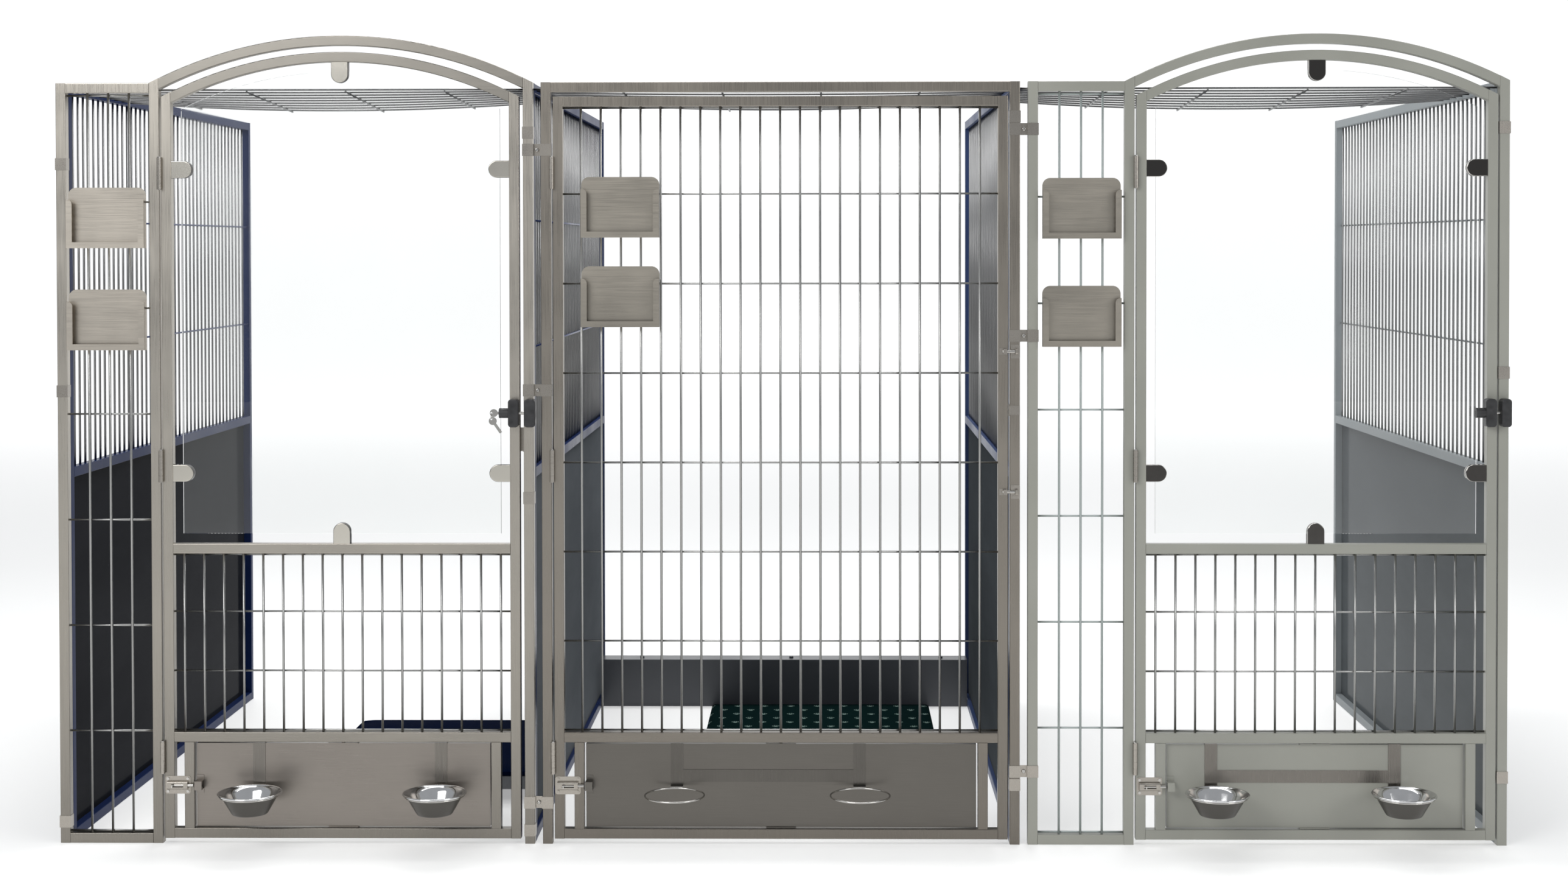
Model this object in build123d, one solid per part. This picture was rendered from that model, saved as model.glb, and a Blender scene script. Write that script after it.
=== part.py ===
from build123d import *
import math
import os

# A bank of three veterinary kennels side by side: a front frame with a door on each bay,
# four side walls running back from it, and the fittings, bed, kick panel and mat inside.
# X runs along the bank, Y from front to back, Z up. Lengths are in millimetres.
# While it is built the front face of the doors is y = 0; save() centres the footprint.

# ------------------------------------------------------------------ driving dimensions
TUBE = 25.0                 # side of the square steel tube
TUBE_WALL = 1.5
TUBE_EDGE = 2.0             # outside radius along the tube's edges
HEIGHT = 1915.0             # front frames and side walls
DEPTH = 1800.0              # front of the doors to the back of the side walls
BAY_WIDTH = 1200.0
BAY_GAP = 20.0              # between neighbouring front frames
NARROW_A = 260.0            # width over posts of the fixed grille beside door A
NARROW_C = 266.0            # and beside door C
FRAME_RISE = 118.0          # arch over the posts of frames A and C
DOOR_RISE = 112.0           # arch over the stiles of doors A and C
DOOR_BOTTOM = 13.0
STILE_TOP = 1880.0
HINGE_GAP = 5.0             # between a post and the hinged stile
LOCK_GAP = {"a": 10.0, "b": 5.0, "c": 4.0}

LOWER_RAIL = 256.0          # underside of the rail over the feeder opening
MID_RAIL = 732.0            # underside of the rail under the glass
FEEDER_INSET = 50.0         # door edge to the feeder side member
BAR_R = 3.0                 # upright bars
WIRE_R = 2.5                # cross wires
WELD = 0.4                  # how deep crossing wires sink into each other
BAR_Y = 10.0                # upright bars of the front grilles
BAR_PITCH = 50.0

GLASS = 6.0
GLASS_INSET = 24.0
GLASS_Y = 9.5
CLAMP_REACH = 52.0
CLAMP_WIDTH = 43.0
CLAMP_PLATE = 7.0
CLAMP_HEIGHTS = (934.0, 1698.0)

HINGE_HEIGHTS = (218.0, 953.0, 1688.0)
HINGE_TALL = 80.0
KNUCKLES = 5
BARREL_R = 6.0
PIN_R = 2.5
PIN_CLEARANCE = 0.05
HINGE_Y = -7.0
LEAF = 1.8

HOLDER = (196.0, 152.0, 21.5)   # card holder: width, height, depth
HOLDER_SHEET = 1.5
HOLDER_LIP = 15.0           # width of the folded lips round its front
HOLDER_ROUND = 20.0         # rounding of its top corners
HOLDER_Y = BAR_Y - BAR_R

LOCK_Z = 1087.0
LOCK_TALL = 70.0
LOCK_DEEP = 28.0
LOCK_BOLT_R = 4.0
STEM_R = 12.5
STEM_LONG = 23.0
PLUG_R = 5.0
KEY_THICK = 2.0

LATCH_HEIGHTS = {"lower": 888.0, "upper": 1240.0}
LATCH_Y = -6.0
LATCH_R = 4.0

FEEDER_BOLT_Z = 148.0
FEEDER_BOLT_Y = -6.75
FEEDER_BOLT_R = 4.0
FEEDER_Y = 12.5             # upright axis that a feeder panel turns about
FEEDER_SHEET = 2.0
FEEDER_FLANGE = 12.0        # depth of the folds round a feeder panel
FEEDER_CLEAR = 3.5
FEEDER_LOW = 41.0
FEEDER_HIGH = 251.0
PIVOT_R = 4.0
STRAP_WIDE = 31.0
STRAP_THICK = 1.5
STRAP_SPACING = 460.0
RACK_OFFSET = {"a": 17.0, "b": -32.0, "c": -30.0}
RING_R = 73.5
RING_WIRE_R = 2.0
RING_Y = -84.0
RING_Z = 143.7

BOWL_RIM_R = 79.5
BOWL_MOUTH_R = 74.0
BOWL_BASE_R = 43.5
BOWL_TALL = 54.0
BOWL_SHEET = 1.0
BOWL_BASE_Z = 97.2

WALL_MID_RAIL = 920.0
WALL_BARS = 42
WALL_WIRE_HEIGHTS = (1250.0, 1570.0)
WALL_PANEL = 3.0

ROOF_WIRES = 9              # in each bay, from front to back
ROOF_FRONT = 30.0
ROOF_BACK = 512.0
ROOF_Z = 1899.0
ROOF_SAG = 22.0             # of the hindmost wire; the foremost is straight
ROOF_REST = 0.01            # between the long wires and the cross wires under them

CLIP_TALL = 30.0
CLIP_SHEET = 1.5
CLIP_DEEP = 22.0

KICK_Y = 1680.0
KICK_TALL = 153.0
KICK_FLANGE = 75.0
KICK_SHEET = 1.5

BED_X = (-1275.0, -648.0)
BED_Y = (400.0, 1060.0)
BED_RAIL = (20.0, 34.0)
BED_FOOT = 40.0
MATTRESS_THICK = 15.0

MAT_X = (-258.0, 449.0)
MAT_LONG = 1000.0
MAT_THICK = 10.0

# ------------------------------------------------------------------ places worked out
PITCH = BAY_WIDTH + BAY_GAP
BAY_LEFT = {"a": -PITCH - BAY_WIDTH / 2, "b": -BAY_WIDTH / 2, "c": PITCH - BAY_WIDTH / 2}
BAY_RIGHT = {bay: left + BAY_WIDTH for bay, left in BAY_LEFT.items()}
NARROW = {"a": NARROW_A, "b": TUBE, "c": NARROW_C}
DOOR_LEFT = {bay: BAY_LEFT[bay] + NARROW[bay] + HINGE_GAP for bay in "abc"}
DOOR_RIGHT = {bay: BAY_RIGHT[bay] - TUBE - LOCK_GAP[bay] for bay in "abc"}
DOOR_MIDDLE = {bay: (DOOR_LEFT[bay] + DOOR_RIGHT[bay]) / 2 for bay in "abc"}
HINGE_X = {bay: DOOR_LEFT[bay] - HINGE_GAP / 2 for bay in "abc"}
WALL_LEFT = (BAY_LEFT["a"], *(BAY_RIGHT[bay] - TUBE for bay in "abc"))  # behind the posts
CROSS_Y = BAR_Y + BAR_R + WIRE_R - WELD
RAIL_TOP = TUBE
BOWL_FRONT = RING_Y - BOWL_RIM_R
MIDDLE_Y = (DEPTH + BOWL_FRONT) / 2


# ------------------------------------------------------------------ shared shapes
def box(x0, x1, y0, y1, z0, z1):
    """A block between two corners."""
    middle = Pos((x0 + x1) / 2, (y0 + y1) / 2, (z0 + z1) / 2)
    return middle * Box(x1 - x0, y1 - y0, z1 - z0)


def rod_x(x0, x1, y, z, radius):
    return Pos((x0 + x1) / 2, y, z) * Rot(0, 90, 0) * Cylinder(radius, x1 - x0)


def rod_y(x, y0, y1, z, radius):
    return Pos(x, (y0 + y1) / 2, z) * Rot(90, 0, 0) * Cylinder(radius, y1 - y0)


def rod_z(x, y, z0, z1, radius):
    return Pos(x, y, (z0 + z1) / 2) * Cylinder(radius, z1 - z0)


def eased(bar, run):
    """A square bar with its long edges rounded."""
    return fillet(bar.edges().filter_by(run), TUBE_EDGE)


def tube_x(x0, x1, z0, y0=0.0):
    """Square tube along X, open at both ends, where it meets its posts."""
    outer = eased(box(x0, x1, y0, y0 + TUBE, z0, z0 + TUBE), Axis.X)
    bore = box(x0 - 1, x1 + 1, y0 + TUBE_WALL, y0 + TUBE - TUBE_WALL,
               z0 + TUBE_WALL, z0 + TUBE - TUBE_WALL)
    return outer - bore


def tube_y(x0, y0, y1, z0):
    """Square tube along Y, open at both ends."""
    outer = eased(box(x0, x0 + TUBE, y0, y1, z0, z0 + TUBE), Axis.Y)
    bore = box(x0 + TUBE_WALL, x0 + TUBE - TUBE_WALL, y0 - 1, y1 + 1,
               z0 + TUBE_WALL, z0 + TUBE - TUBE_WALL)
    return outer - bore


def tube_z(x0, z0, z1, y0=0.0):
    """Upright square tube, closed at the top and open at the foot."""
    outer = eased(box(x0, x0 + TUBE, y0, y0 + TUBE, z0, z1), Axis.Z)
    bore = box(x0 + TUBE_WALL, x0 + TUBE - TUBE_WALL, y0 + TUBE_WALL,
               y0 + TUBE - TUBE_WALL, z0 - 1, z1 - TUBE_WALL)
    return outer - bore


def arc_over(x0, x1, spring_z, rise):
    """Centre x, centre z and outer radius of an arch of the given rise."""
    half = (x1 - x0) / 2
    radius = (half ** 2 + rise ** 2) / (2 * rise)
    return (x0 + x1) / 2, spring_z + rise - radius, radius


def disc(arc, inset, y0=0.0, y1=TUBE):
    """The full disc whose rim is an arch, made smaller by an inset."""
    centre_x, centre_z, radius = arc
    return rod_y(centre_x, y0, y1, centre_z, radius - inset)


def outside(arc, inset):
    """Everything between an arch and a block over its upper half."""
    centre_x, centre_z, radius = arc
    over = box(centre_x - radius, centre_x + radius, -1, TUBE + 1,
               centre_z, centre_z + radius + 1)
    return over - disc(arc, inset, -2, TUBE + 2)


def arched_post(x0, z0, arc):
    """Upright tube whose closed top follows the arch."""
    crown = arc[1] + arc[2]
    outer = eased(box(x0, x0 + TUBE, 0, TUBE, z0, crown), Axis.Z) - outside(arc, 0)
    bore = box(x0 + TUBE_WALL, x0 + TUBE - TUBE_WALL, TUBE_WALL, TUBE - TUBE_WALL,
               z0 - 1, crown) - outside(arc, TUBE_WALL)
    return outer - bore


def arch_tube(x0, x1, arc):
    """Bent square tube between the inner faces of two arched posts."""
    crown = arc[1] + arc[2]
    outer = disc(arc, 0) - disc(arc, TUBE)
    outer = fillet(outer.edges().filter_by(GeomType.CIRCLE), TUBE_EDGE)
    bore = disc(arc, TUBE_WALL, TUBE_WALL, TUBE - TUBE_WALL) - disc(arc, TUBE - TUBE_WALL)
    span = box(x0, x1, 0, TUBE, arc[1] + arc[2] / 2, crown)
    return (outer - bore) & span


def weld(pieces):
    """Crossing wires joined into one piece."""
    return pieces[0] + pieces[1:]


def front_grille(xs, x0, x1, z0, z1, heights):
    """Upright bars with cross wires welded behind them."""
    bars = [rod_z(x, BAR_Y, z0, z1, BAR_R) for x in xs]
    wires = [rod_x(x0, x1, CROSS_Y, z, WIRE_R) for z in heights]
    return weld(bars + wires)


def spread(middle, count, pitch):
    """Evenly spaced places about a middle one."""
    return [middle + (i - (count - 1) / 2) * pitch for i in range(count)]


def save(name, pieces):
    """Write one node, moved so that the footprint is centred on the origin."""
    solids = [solid for piece in pieces for solid in piece.solids()]
    placed = [Pos(0, -MIDDLE_Y, 0) * solid for solid in solids]
    shape = placed[0] if len(placed) == 1 else Compound(placed)
    shape.label = name
    export_step(shape, f"parts/{name}.step")


# ------------------------------------------------------------------ front frames
FRAME_ARC = {
    bay: arc_over(BAY_LEFT[bay] + NARROW[bay] - TUBE, BAY_RIGHT[bay], HEIGHT, FRAME_RISE)
    for bay in "ac"
}
DOOR_ARC = {
    bay: arc_over(DOOR_LEFT[bay], DOOR_RIGHT[bay], STILE_TOP, DOOR_RISE) for bay in "ac"
}


def narrow_frame(bay):
    """Frame with a narrow fixed grille at the left and an arched doorway at the right."""
    left = BAY_LEFT[bay]
    middle = left + NARROW[bay] - TUBE
    right = BAY_RIGHT[bay] - TUBE
    return [
        tube_z(left, 0, HEIGHT),
        arched_post(middle, 0, FRAME_ARC[bay]),
        arched_post(right, 0, FRAME_ARC[bay]),
        tube_x(left + TUBE, middle, 0),
        tube_x(left + TUBE, middle, HEIGHT - TUBE),
    ]


def frame_arch(bay):
    inner_left = BAY_LEFT[bay] + NARROW[bay]
    return arch_tube(inner_left, BAY_RIGHT[bay] - TUBE, FRAME_ARC[bay])


def plain_frame():
    """Square doorway frame of the middle bay."""
    left = BAY_LEFT["b"]
    right = BAY_RIGHT["b"] - TUBE
    return [
        tube_z(left, 0, HEIGHT),
        tube_z(right, 0, HEIGHT),
        tube_x(left + TUBE, right, HEIGHT - TUBE),
    ]


def side_grille(bay, lift):
    """Three bars and eight cross wires in the narrow fixed panel."""
    x0 = BAY_LEFT[bay] + TUBE
    x1 = BAY_LEFT[bay] + NARROW[bay] - TUBE
    pitch = (x1 - x0) / 4
    low, high, step = 29.0, HEIGHT - TUBE - 6.0, 267.0
    between = [high - step * i + lift for i in range(1, 7)]
    return front_grille(spread((x0 + x1) / 2, 3, pitch), x0, x1, RAIL_TOP, HEIGHT - TUBE,
                        [low, *between, high])


# ------------------------------------------------------------------ side walls and roof
def wall_frame(x0):
    """Upright rectangular tube frame with a rail at half height."""
    front = TUBE
    back = DEPTH - TUBE
    rails = [tube_y(x0, front + TUBE, back, z) for z in (0, WALL_MID_RAIL, HEIGHT - TUBE)]
    return [tube_z(x0, 0, HEIGHT, front), tube_z(x0, 0, HEIGHT, back), *rails]


def wall_bars(x0):
    """Upright bars of the upper half, with two long wires welded to their right."""
    x = x0 + TUBE / 2
    y0 = 2 * TUBE
    y1 = DEPTH - TUBE
    pitch = (y1 - y0) / (WALL_BARS + 1)
    ys = spread((y0 + y1) / 2, WALL_BARS, pitch)
    bars = [rod_z(x, y, WALL_MID_RAIL + TUBE, HEIGHT - TUBE, BAR_R) for y in ys]
    wire_x = x + BAR_R + WIRE_R - WELD
    wires = [rod_y(wire_x, y0, y1, z, WIRE_R) for z in WALL_WIRE_HEIGHTS]
    return weld(bars + wires)


def wall_panel(x0):
    """Solid sheet in the lower half of a wall."""
    return box(x0, x0 + WALL_PANEL, 2 * TUBE, DEPTH - TUBE, TUBE, WALL_MID_RAIL)


def roof_strip(x0, x1):
    """Wires along X that sag more towards the back, resting on straight cross wires."""
    middle = (x0 + x1) / 2
    half = (x1 - x0) / 2
    pitch = (ROOF_BACK - ROOF_FRONT) / (ROOF_WIRES - 1)
    wires = [rod_x(x0 + 0.3, x1 - 0.3, ROOF_FRONT, ROOF_Z, WIRE_R)]
    for i in range(1, ROOF_WIRES):
        sag = ROOF_SAG * i / (ROOF_WIRES - 1)
        bend = (half ** 2 + sag ** 2) / (2 * sag)
        swing = math.degrees(math.asin((half - 0.3) / bend))
        lowest = (middle, ROOF_FRONT + i * pitch, ROOF_Z - sag)
        section = Plane(origin=lowest, x_dir=(0, 1, 0), z_dir=(1, 0, 0)) * Circle(WIRE_R)
        axis = Axis((middle, 0, ROOF_Z - sag + bend), (0, 1, 0))
        wires.append(revolve(section, axis, 2 * swing).rotate(axis, -swing))
    bend = (half ** 2 + ROOF_SAG ** 2) / (2 * ROOF_SAG)
    front_z = ROOF_Z - 2 * WIRE_R - ROOF_REST
    cross = []
    for x in spread(middle, 4, 250.0):
        drop = ROOF_SAG - bend + math.sqrt(bend ** 2 - (x - middle) ** 2)
        slope = math.degrees(math.atan2(drop, ROOF_BACK - ROOF_FRONT))
        length = math.hypot(drop, ROOF_BACK - ROOF_FRONT) + 2.0
        centre = Pos(x, (ROOF_FRONT + ROOF_BACK) / 2, front_z - drop / 2)
        cross.append(centre * Rot(90 - slope, 0, 0) * Cylinder(WIRE_R, length))
    return wires + cross


# ------------------------------------------------------------------ frame clips
DOUBLE_CLIPS = ((1746.0, 1143.0, 104.0), (1796.0, 1279.0, 184.0))
SINGLE_CLIPS = {
    BAY_LEFT["a"]: (1712.0, 1141.0, 54.0),
    BAY_RIGHT["a"] - TUBE: (1789.0, 872.0, 34.0),
    BAY_RIGHT["b"] - TUBE: (1827.0, 151.0),
    BAY_RIGHT["c"] - TUBE: (1798.0, 1186.0, 171.0),
}
RECESS_DEEP = 8.0


def single_clip(x0, z):
    """Channel of sheet metal pushed over one post."""
    low = z - CLIP_TALL / 2
    high = z + CLIP_TALL / 2
    x1 = x0 + TUBE
    pieces = [
        box(x0 - CLIP_SHEET, x1 + CLIP_SHEET, -CLIP_SHEET, 0, low, high),
        box(x0 - CLIP_SHEET, x0, 0, CLIP_DEEP, low, high),
        box(x1, x1 + CLIP_SHEET, 0, CLIP_DEEP, low, high),
    ]
    return weld(pieces)


def double_clip(middle, z):
    """Clip over two neighbouring posts, with a channel pressed in between them."""
    low = z - CLIP_TALL / 2
    high = z + CLIP_TALL / 2
    near = BAY_GAP / 2
    far = near + TUBE
    pieces = [box(middle - near, middle + near, RECESS_DEEP - CLIP_SHEET, RECESS_DEEP,
                  low, high)]
    for side in (-1, 1):
        pad = sorted((middle + side * (near - CLIP_SHEET), middle + side * (far + CLIP_SHEET)))
        wrap = sorted((middle + side * far, middle + side * (far + CLIP_SHEET)))
        cheek = sorted((middle + side * (near - CLIP_SHEET), middle + side * near))
        pieces.append(box(*pad, -CLIP_SHEET, 0, low, high))
        pieces.append(box(*wrap, 0, CLIP_DEEP / 2, low, high))
        pieces.append(box(*cheek, 0, RECESS_DEEP, low, high))
    return weld(pieces) - rod_y(middle, 0, TUBE, z, 3.2)


def clip_bolt(middle, z):
    """Dome-headed socket bolt through a double clip, with a square nut in the gap behind."""
    head_back = RECESS_DEEP - CLIP_SHEET
    head = rod_y(middle, head_back - 5.0, head_back, z, 5.0)
    head = fillet(head.faces().sort_by(Axis.Y)[0].edges(), 2.5)
    socket = rod_y(middle, head_back - 5.0, head_back - 2.5, z, 1.7)
    nut = box(middle - 8.0, middle + 8.0, TUBE - 5.0, TUBE - 1.0, z - 8.0, z + 8.0)
    return head + rod_y(middle, head_back, TUBE, z, 3.0) + nut - socket


# ------------------------------------------------------------------ card holders
def card_holder(x, z):
    """Open-topped sheet pocket: a back plate whose sides and foot are folded forward and inward."""
    wide, tall, deep = HOLDER
    x0 = x - wide / 2
    x1 = x + wide / 2
    back = box(x0, x1, HOLDER_Y - HOLDER_SHEET, HOLDER_Y, z, z + tall)
    top = back.edges().filter_by(Axis.Y).sort_by(Axis.Z)[-2:]
    back = fillet(top, HOLDER_ROUND)
    front = HOLDER_Y - deep
    lip_top = z + 0.8 * tall
    walls = [
        box(x0, x0 + HOLDER_SHEET, front, HOLDER_Y, z, lip_top),
        box(x1 - HOLDER_SHEET, x1, front, HOLDER_Y, z, lip_top),
        box(x0, x1, front, HOLDER_Y, z, z + HOLDER_SHEET),
    ]
    face = front + HOLDER_SHEET
    left_lip = box(x0, x0 + HOLDER_LIP, front, face, z, lip_top)
    right_lip = box(x1 - HOLDER_LIP, x1, front, face, z, lip_top)
    left_corner = left_lip.edges().filter_by(Axis.Y).group_by(Axis.Z)[-1].sort_by(Axis.X)[-1]
    right_corner = right_lip.edges().filter_by(Axis.Y).group_by(Axis.Z)[-1].sort_by(Axis.X)[0]
    lips = [
        fillet(left_corner, 0.8 * HOLDER_LIP),
        fillet(right_corner, 0.8 * HOLDER_LIP),
        box(x0, x1, front, face, z, z + HOLDER_LIP),
    ]
    return weld([back, *walls, *lips])


# ------------------------------------------------------------------ hinges
def hinge_leaf(bay, z, on_door):
    """One leaf of a butt hinge, with its own knuckles out of the five."""
    x = HINGE_X[bay]
    low = z - HINGE_TALL / 2
    knuckle = HINGE_TALL / KNUCKLES
    play = 0.15
    if on_door:
        x0, x1 = x + HINGE_GAP / 2 - LEAF, x + HINGE_GAP / 2
        own, bore = (1, 3), PIN_R + PIN_CLEARANCE
    else:
        x0, x1 = x - HINGE_GAP / 2, x - HINGE_GAP / 2 + LEAF
        own, bore = (0, 2, 4), PIN_R
    pieces = [box(x0, x1, 0, 20.0, low, low + HINGE_TALL)]
    for i in own:
        z0 = low + i * knuckle + play
        z1 = low + (i + 1) * knuckle - play
        pieces.append(rod_z(x, HINGE_Y, z0, z1, BARREL_R))
        pieces.append(box(x0, x1, HINGE_Y + 3.0, 0, z0, z1))
    return weld(pieces) - rod_z(x, HINGE_Y, low, low + HINGE_TALL, bore)


def hinge_pin(bay, z):
    low = z - HINGE_TALL / 2
    pin = rod_z(HINGE_X[bay], HINGE_Y, low - 1.0, low + HINGE_TALL, PIN_R)
    return pin + rod_z(HINGE_X[bay], HINGE_Y, low + HINGE_TALL, low + HINGE_TALL + 2.0, 4.5)


# ------------------------------------------------------------------ doors
def feeder_rails(bay):
    """Bottom rail and the rail over the feeder, each drilled for a pivot pin."""
    x0 = DOOR_LEFT[bay] + TUBE
    x1 = DOOR_RIGHT[bay] - TUBE
    x = DOOR_MIDDLE[bay]
    hole = PIVOT_R + PIN_CLEARANCE
    bottom = tube_x(x0, x1, DOOR_BOTTOM)
    bottom -= rod_z(x, FEEDER_Y, DOOR_BOTTOM + TUBE / 2, DOOR_BOTTOM + TUBE + 1, hole)
    lower = tube_x(x0, x1, LOWER_RAIL)
    lower -= rod_z(x, FEEDER_Y, LOWER_RAIL - 1, LOWER_RAIL + TUBE / 2, hole)
    return [bottom, lower]


def feeder_sides(bay):
    """Short uprights on both sides of the feeder opening."""
    low = DOOR_BOTTOM + TUBE
    left = DOOR_LEFT[bay] + FEEDER_INSET
    right = DOOR_RIGHT[bay] - FEEDER_INSET - TUBE
    return [tube_z(left, low, LOWER_RAIL), tube_z(right, low, LOWER_RAIL)]


def arched_door_frame(bay):
    left = DOOR_LEFT[bay]
    right = DOOR_RIGHT[bay]
    return [
        arched_post(left, DOOR_BOTTOM, DOOR_ARC[bay]),
        arched_post(right - TUBE, DOOR_BOTTOM, DOOR_ARC[bay]),
        tube_x(left + TUBE, right - TUBE, MID_RAIL),
        *feeder_rails(bay),
        *feeder_sides(bay),
    ]


def square_door_frame():
    left = DOOR_LEFT["b"]
    right = DOOR_RIGHT["b"]
    top = STILE_TOP - 1.0
    return [
        tube_z(left, DOOR_BOTTOM, top),
        tube_z(right - TUBE, DOOR_BOTTOM, top),
        tube_x(left + TUBE, right - TUBE, top - TUBE),
        *feeder_rails("b"),
        *feeder_sides("b"),
    ]


def door_grille(bay, count, top, heights):
    xs = spread(DOOR_MIDDLE[bay], count, BAR_PITCH)
    x0 = DOOR_LEFT[bay] + TUBE
    x1 = DOOR_RIGHT[bay] - TUBE
    return front_grille(xs, x0, x1, LOWER_RAIL + TUBE, top, heights)


def door_glass(bay):
    """Arched sheet standing clear of the frame all round."""
    x0 = DOOR_LEFT[bay] + TUBE + GLASS_INSET
    x1 = DOOR_RIGHT[bay] - TUBE - GLASS_INSET
    bottom = MID_RAIL + TUBE + GLASS_INSET + 1.0
    crown = DOOR_ARC[bay][1] + DOOR_ARC[bay][2]
    sheet = box(x0, x1, GLASS_Y, GLASS_Y + GLASS, bottom, crown)
    return sheet & disc(DOOR_ARC[bay], TUBE + GLASS_INSET)


def clamp():
    """Two D-shaped halves, pointing along +X from the tube that they are fixed to."""
    nose = CLAMP_REACH - CLAMP_WIDTH / 2
    half = CLAMP_WIDTH / 2
    halves = []
    for y0, outer in ((GLASS_Y - CLAMP_PLATE, 0), (GLASS_Y + GLASS, -1)):
        y1 = y0 + CLAMP_PLATE
        plate = box(0, nose, y0, y1, -half, half) + rod_y(nose, y0, y1, 0, half)
        face = plate.faces().sort_by(Axis.Y)[outer]
        rim = [edge for edge in face.edges() if edge.center().X > 1.0]
        halves.append(fillet(rim, 2.0))
    spacer = box(0, GLASS_INSET - 1.0, GLASS_Y, GLASS_Y + GLASS, -half + 3, half - 3)
    halves[0] = halves[0] + spacer
    return halves


def door_clamps(bay):
    """Two clamps on each stile, one under the crown and one on the middle rail."""
    left = DOOR_LEFT[bay] + TUBE
    right = DOOR_RIGHT[bay] - TUBE
    crown = DOOR_ARC[bay][1] + DOOR_ARC[bay][2] - TUBE
    places = [(left, z, 0) for z in CLAMP_HEIGHTS]
    places += [(right, z, 180) for z in CLAMP_HEIGHTS]
    places += [(DOOR_MIDDLE[bay], crown - 0.3, 90)]
    places += [(DOOR_MIDDLE[bay], MID_RAIL + TUBE, -90)]
    return [Pos(x, 0, z) * Rot(0, turn, 0) * half
            for x, z, turn in places for half in clamp()]


# ------------------------------------------------------------------ locks of doors A and C
LOCK_LEFT = {"a": -681.0, "c": 1756.0}
KEEPER_LEFT = {"a": -641.0, "c": 1795.0}
LOCK_WIDE = {"a": 26.0, "c": 27.0}
KEEPER_WIDE = {"a": 28.0, "c": 25.0}
LOCK_Y = -LOCK_DEEP / 2
LOCK_TRAVEL = 12.0
KEY_BOW_R = 10.0
KEY_RING_R = 7.5


def lock_block(x0, wide):
    """Upright oblong moulding with rounded ends and a softened front."""
    low = LOCK_Z - LOCK_TALL / 2
    block = box(x0, x0 + wide, -LOCK_DEEP, 0, low, low + LOCK_TALL)
    block = fillet(block.edges().filter_by(Axis.Y), 8.0)
    return fillet(block.faces().sort_by(Axis.Y)[0].edges(), 3.0)


def lock_body(bay):
    """Lock case with its round stem, bored for the bolt and for the cylinder."""
    x0 = LOCK_LEFT[bay]
    x1 = x0 + LOCK_WIDE[bay]
    body = lock_block(x0, LOCK_WIDE[bay])
    body += rod_x(x0 - STEM_LONG, x0 + 1, LOCK_Y, LOCK_Z, STEM_R)
    body -= rod_x(x1 - 22.0, x1 + 1, LOCK_Y, LOCK_Z, LOCK_BOLT_R + 0.1)
    if bay == "a":
        body -= rod_x(x0 - STEM_LONG - 1, x0 - 3.0, LOCK_Y, LOCK_Z, PLUG_R + 0.05)
    else:
        body -= box(x0 - STEM_LONG - 1, x0 - STEM_LONG + 6, LOCK_Y - 1, LOCK_Y + 1,
                    LOCK_Z - 4, LOCK_Z + 4)
    return body


def lock_keeper(bay):
    x0 = KEEPER_LEFT[bay]
    hole = rod_x(x0 - 1, x0 + LOCK_TRAVEL + 3, LOCK_Y, LOCK_Z, LOCK_BOLT_R + 0.3)
    return lock_block(x0, KEEPER_WIDE[bay]) - hole


def lock_bolt(bay):
    """Round bolt, drawn back so that its tip is just short of the keeper."""
    x1 = LOCK_LEFT[bay] + LOCK_WIDE[bay]
    return rod_x(x1 - 20.0, KEEPER_LEFT[bay] - 1.0, LOCK_Y, LOCK_Z, LOCK_BOLT_R)


def key(blade_long):
    """Flat key hanging down from the hole in its bow, which is at the origin."""
    bow = rod_y(0, -KEY_THICK / 2, KEY_THICK / 2, -0.6 * KEY_BOW_R, KEY_BOW_R)
    foot = -1.6 * KEY_BOW_R
    blade = box(-3.5, 3.5, -KEY_THICK / 2, KEY_THICK / 2, foot - blade_long, foot + 1)
    return bow + blade - rod_y(0, -KEY_THICK, KEY_THICK, 0, 2.5)


def lock_keys():
    """Cylinder, the key in it, a split ring through its bow and a spare key."""
    x0 = LOCK_LEFT["a"] - STEM_LONG
    plug = rod_x(x0 + 0.5, x0 + STEM_LONG - 4.0, LOCK_Y, LOCK_Z, PLUG_R)
    plug -= box(x0, x0 + 16.0, LOCK_Y - 1.05, LOCK_Y + 1.05, LOCK_Z - 3.6, LOCK_Z + 3.6)
    hole_x = x0 - 20.0
    inserted = Pos(hole_x, LOCK_Y, LOCK_Z) * Rot(0, -90, 0) * key(18.0)
    ring = Pos(hole_x, LOCK_Y, LOCK_Z - KEY_RING_R) * Rot(0, 90, 0) * Torus(KEY_RING_R, 0.6)
    spare_at = Pos(hole_x, LOCK_Y, LOCK_Z - 2 * KEY_RING_R)
    return [plug, inserted, ring, spare_at * Rot(0, -35, 0) * key(26.0)]


# ------------------------------------------------------------------ stops and the latch of door B
STOP_Z = (988.0, 1048.0)
CATCH_Z = (1078.0, 1107.0)
LATCH_KEEPER = (577.0, 600.0)
LATCH_LOOP = (588.0, 594.0)


def door_stop():
    """Angle on the inner face of post A that the closed door's stile comes up to."""
    x1 = BAY_RIGHT["a"] - TUBE
    leg = box(x1 - 2.0, x1, 5.0, TUBE + 2.5, *STOP_Z)
    return leg + box(x1 - 20.0, x1, TUBE + 0.5, TUBE + 2.5, *STOP_Z)


def door_catch():
    """Small catch in the lock-side gap of door B, with its plate on the post."""
    post = BAY_RIGHT["b"] - TUBE
    block = box(post - 3.5, post, 2.0, 20.0, *CATCH_Z)
    plate = box(post - 3.5, post + TUBE, -1.5, 0, CATCH_Z[0] + 3, CATCH_Z[1] - 3)
    return block + plate + box(post - 3.5, post, 0, 2.0, CATCH_Z[0] + 3, CATCH_Z[1] - 3)


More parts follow.
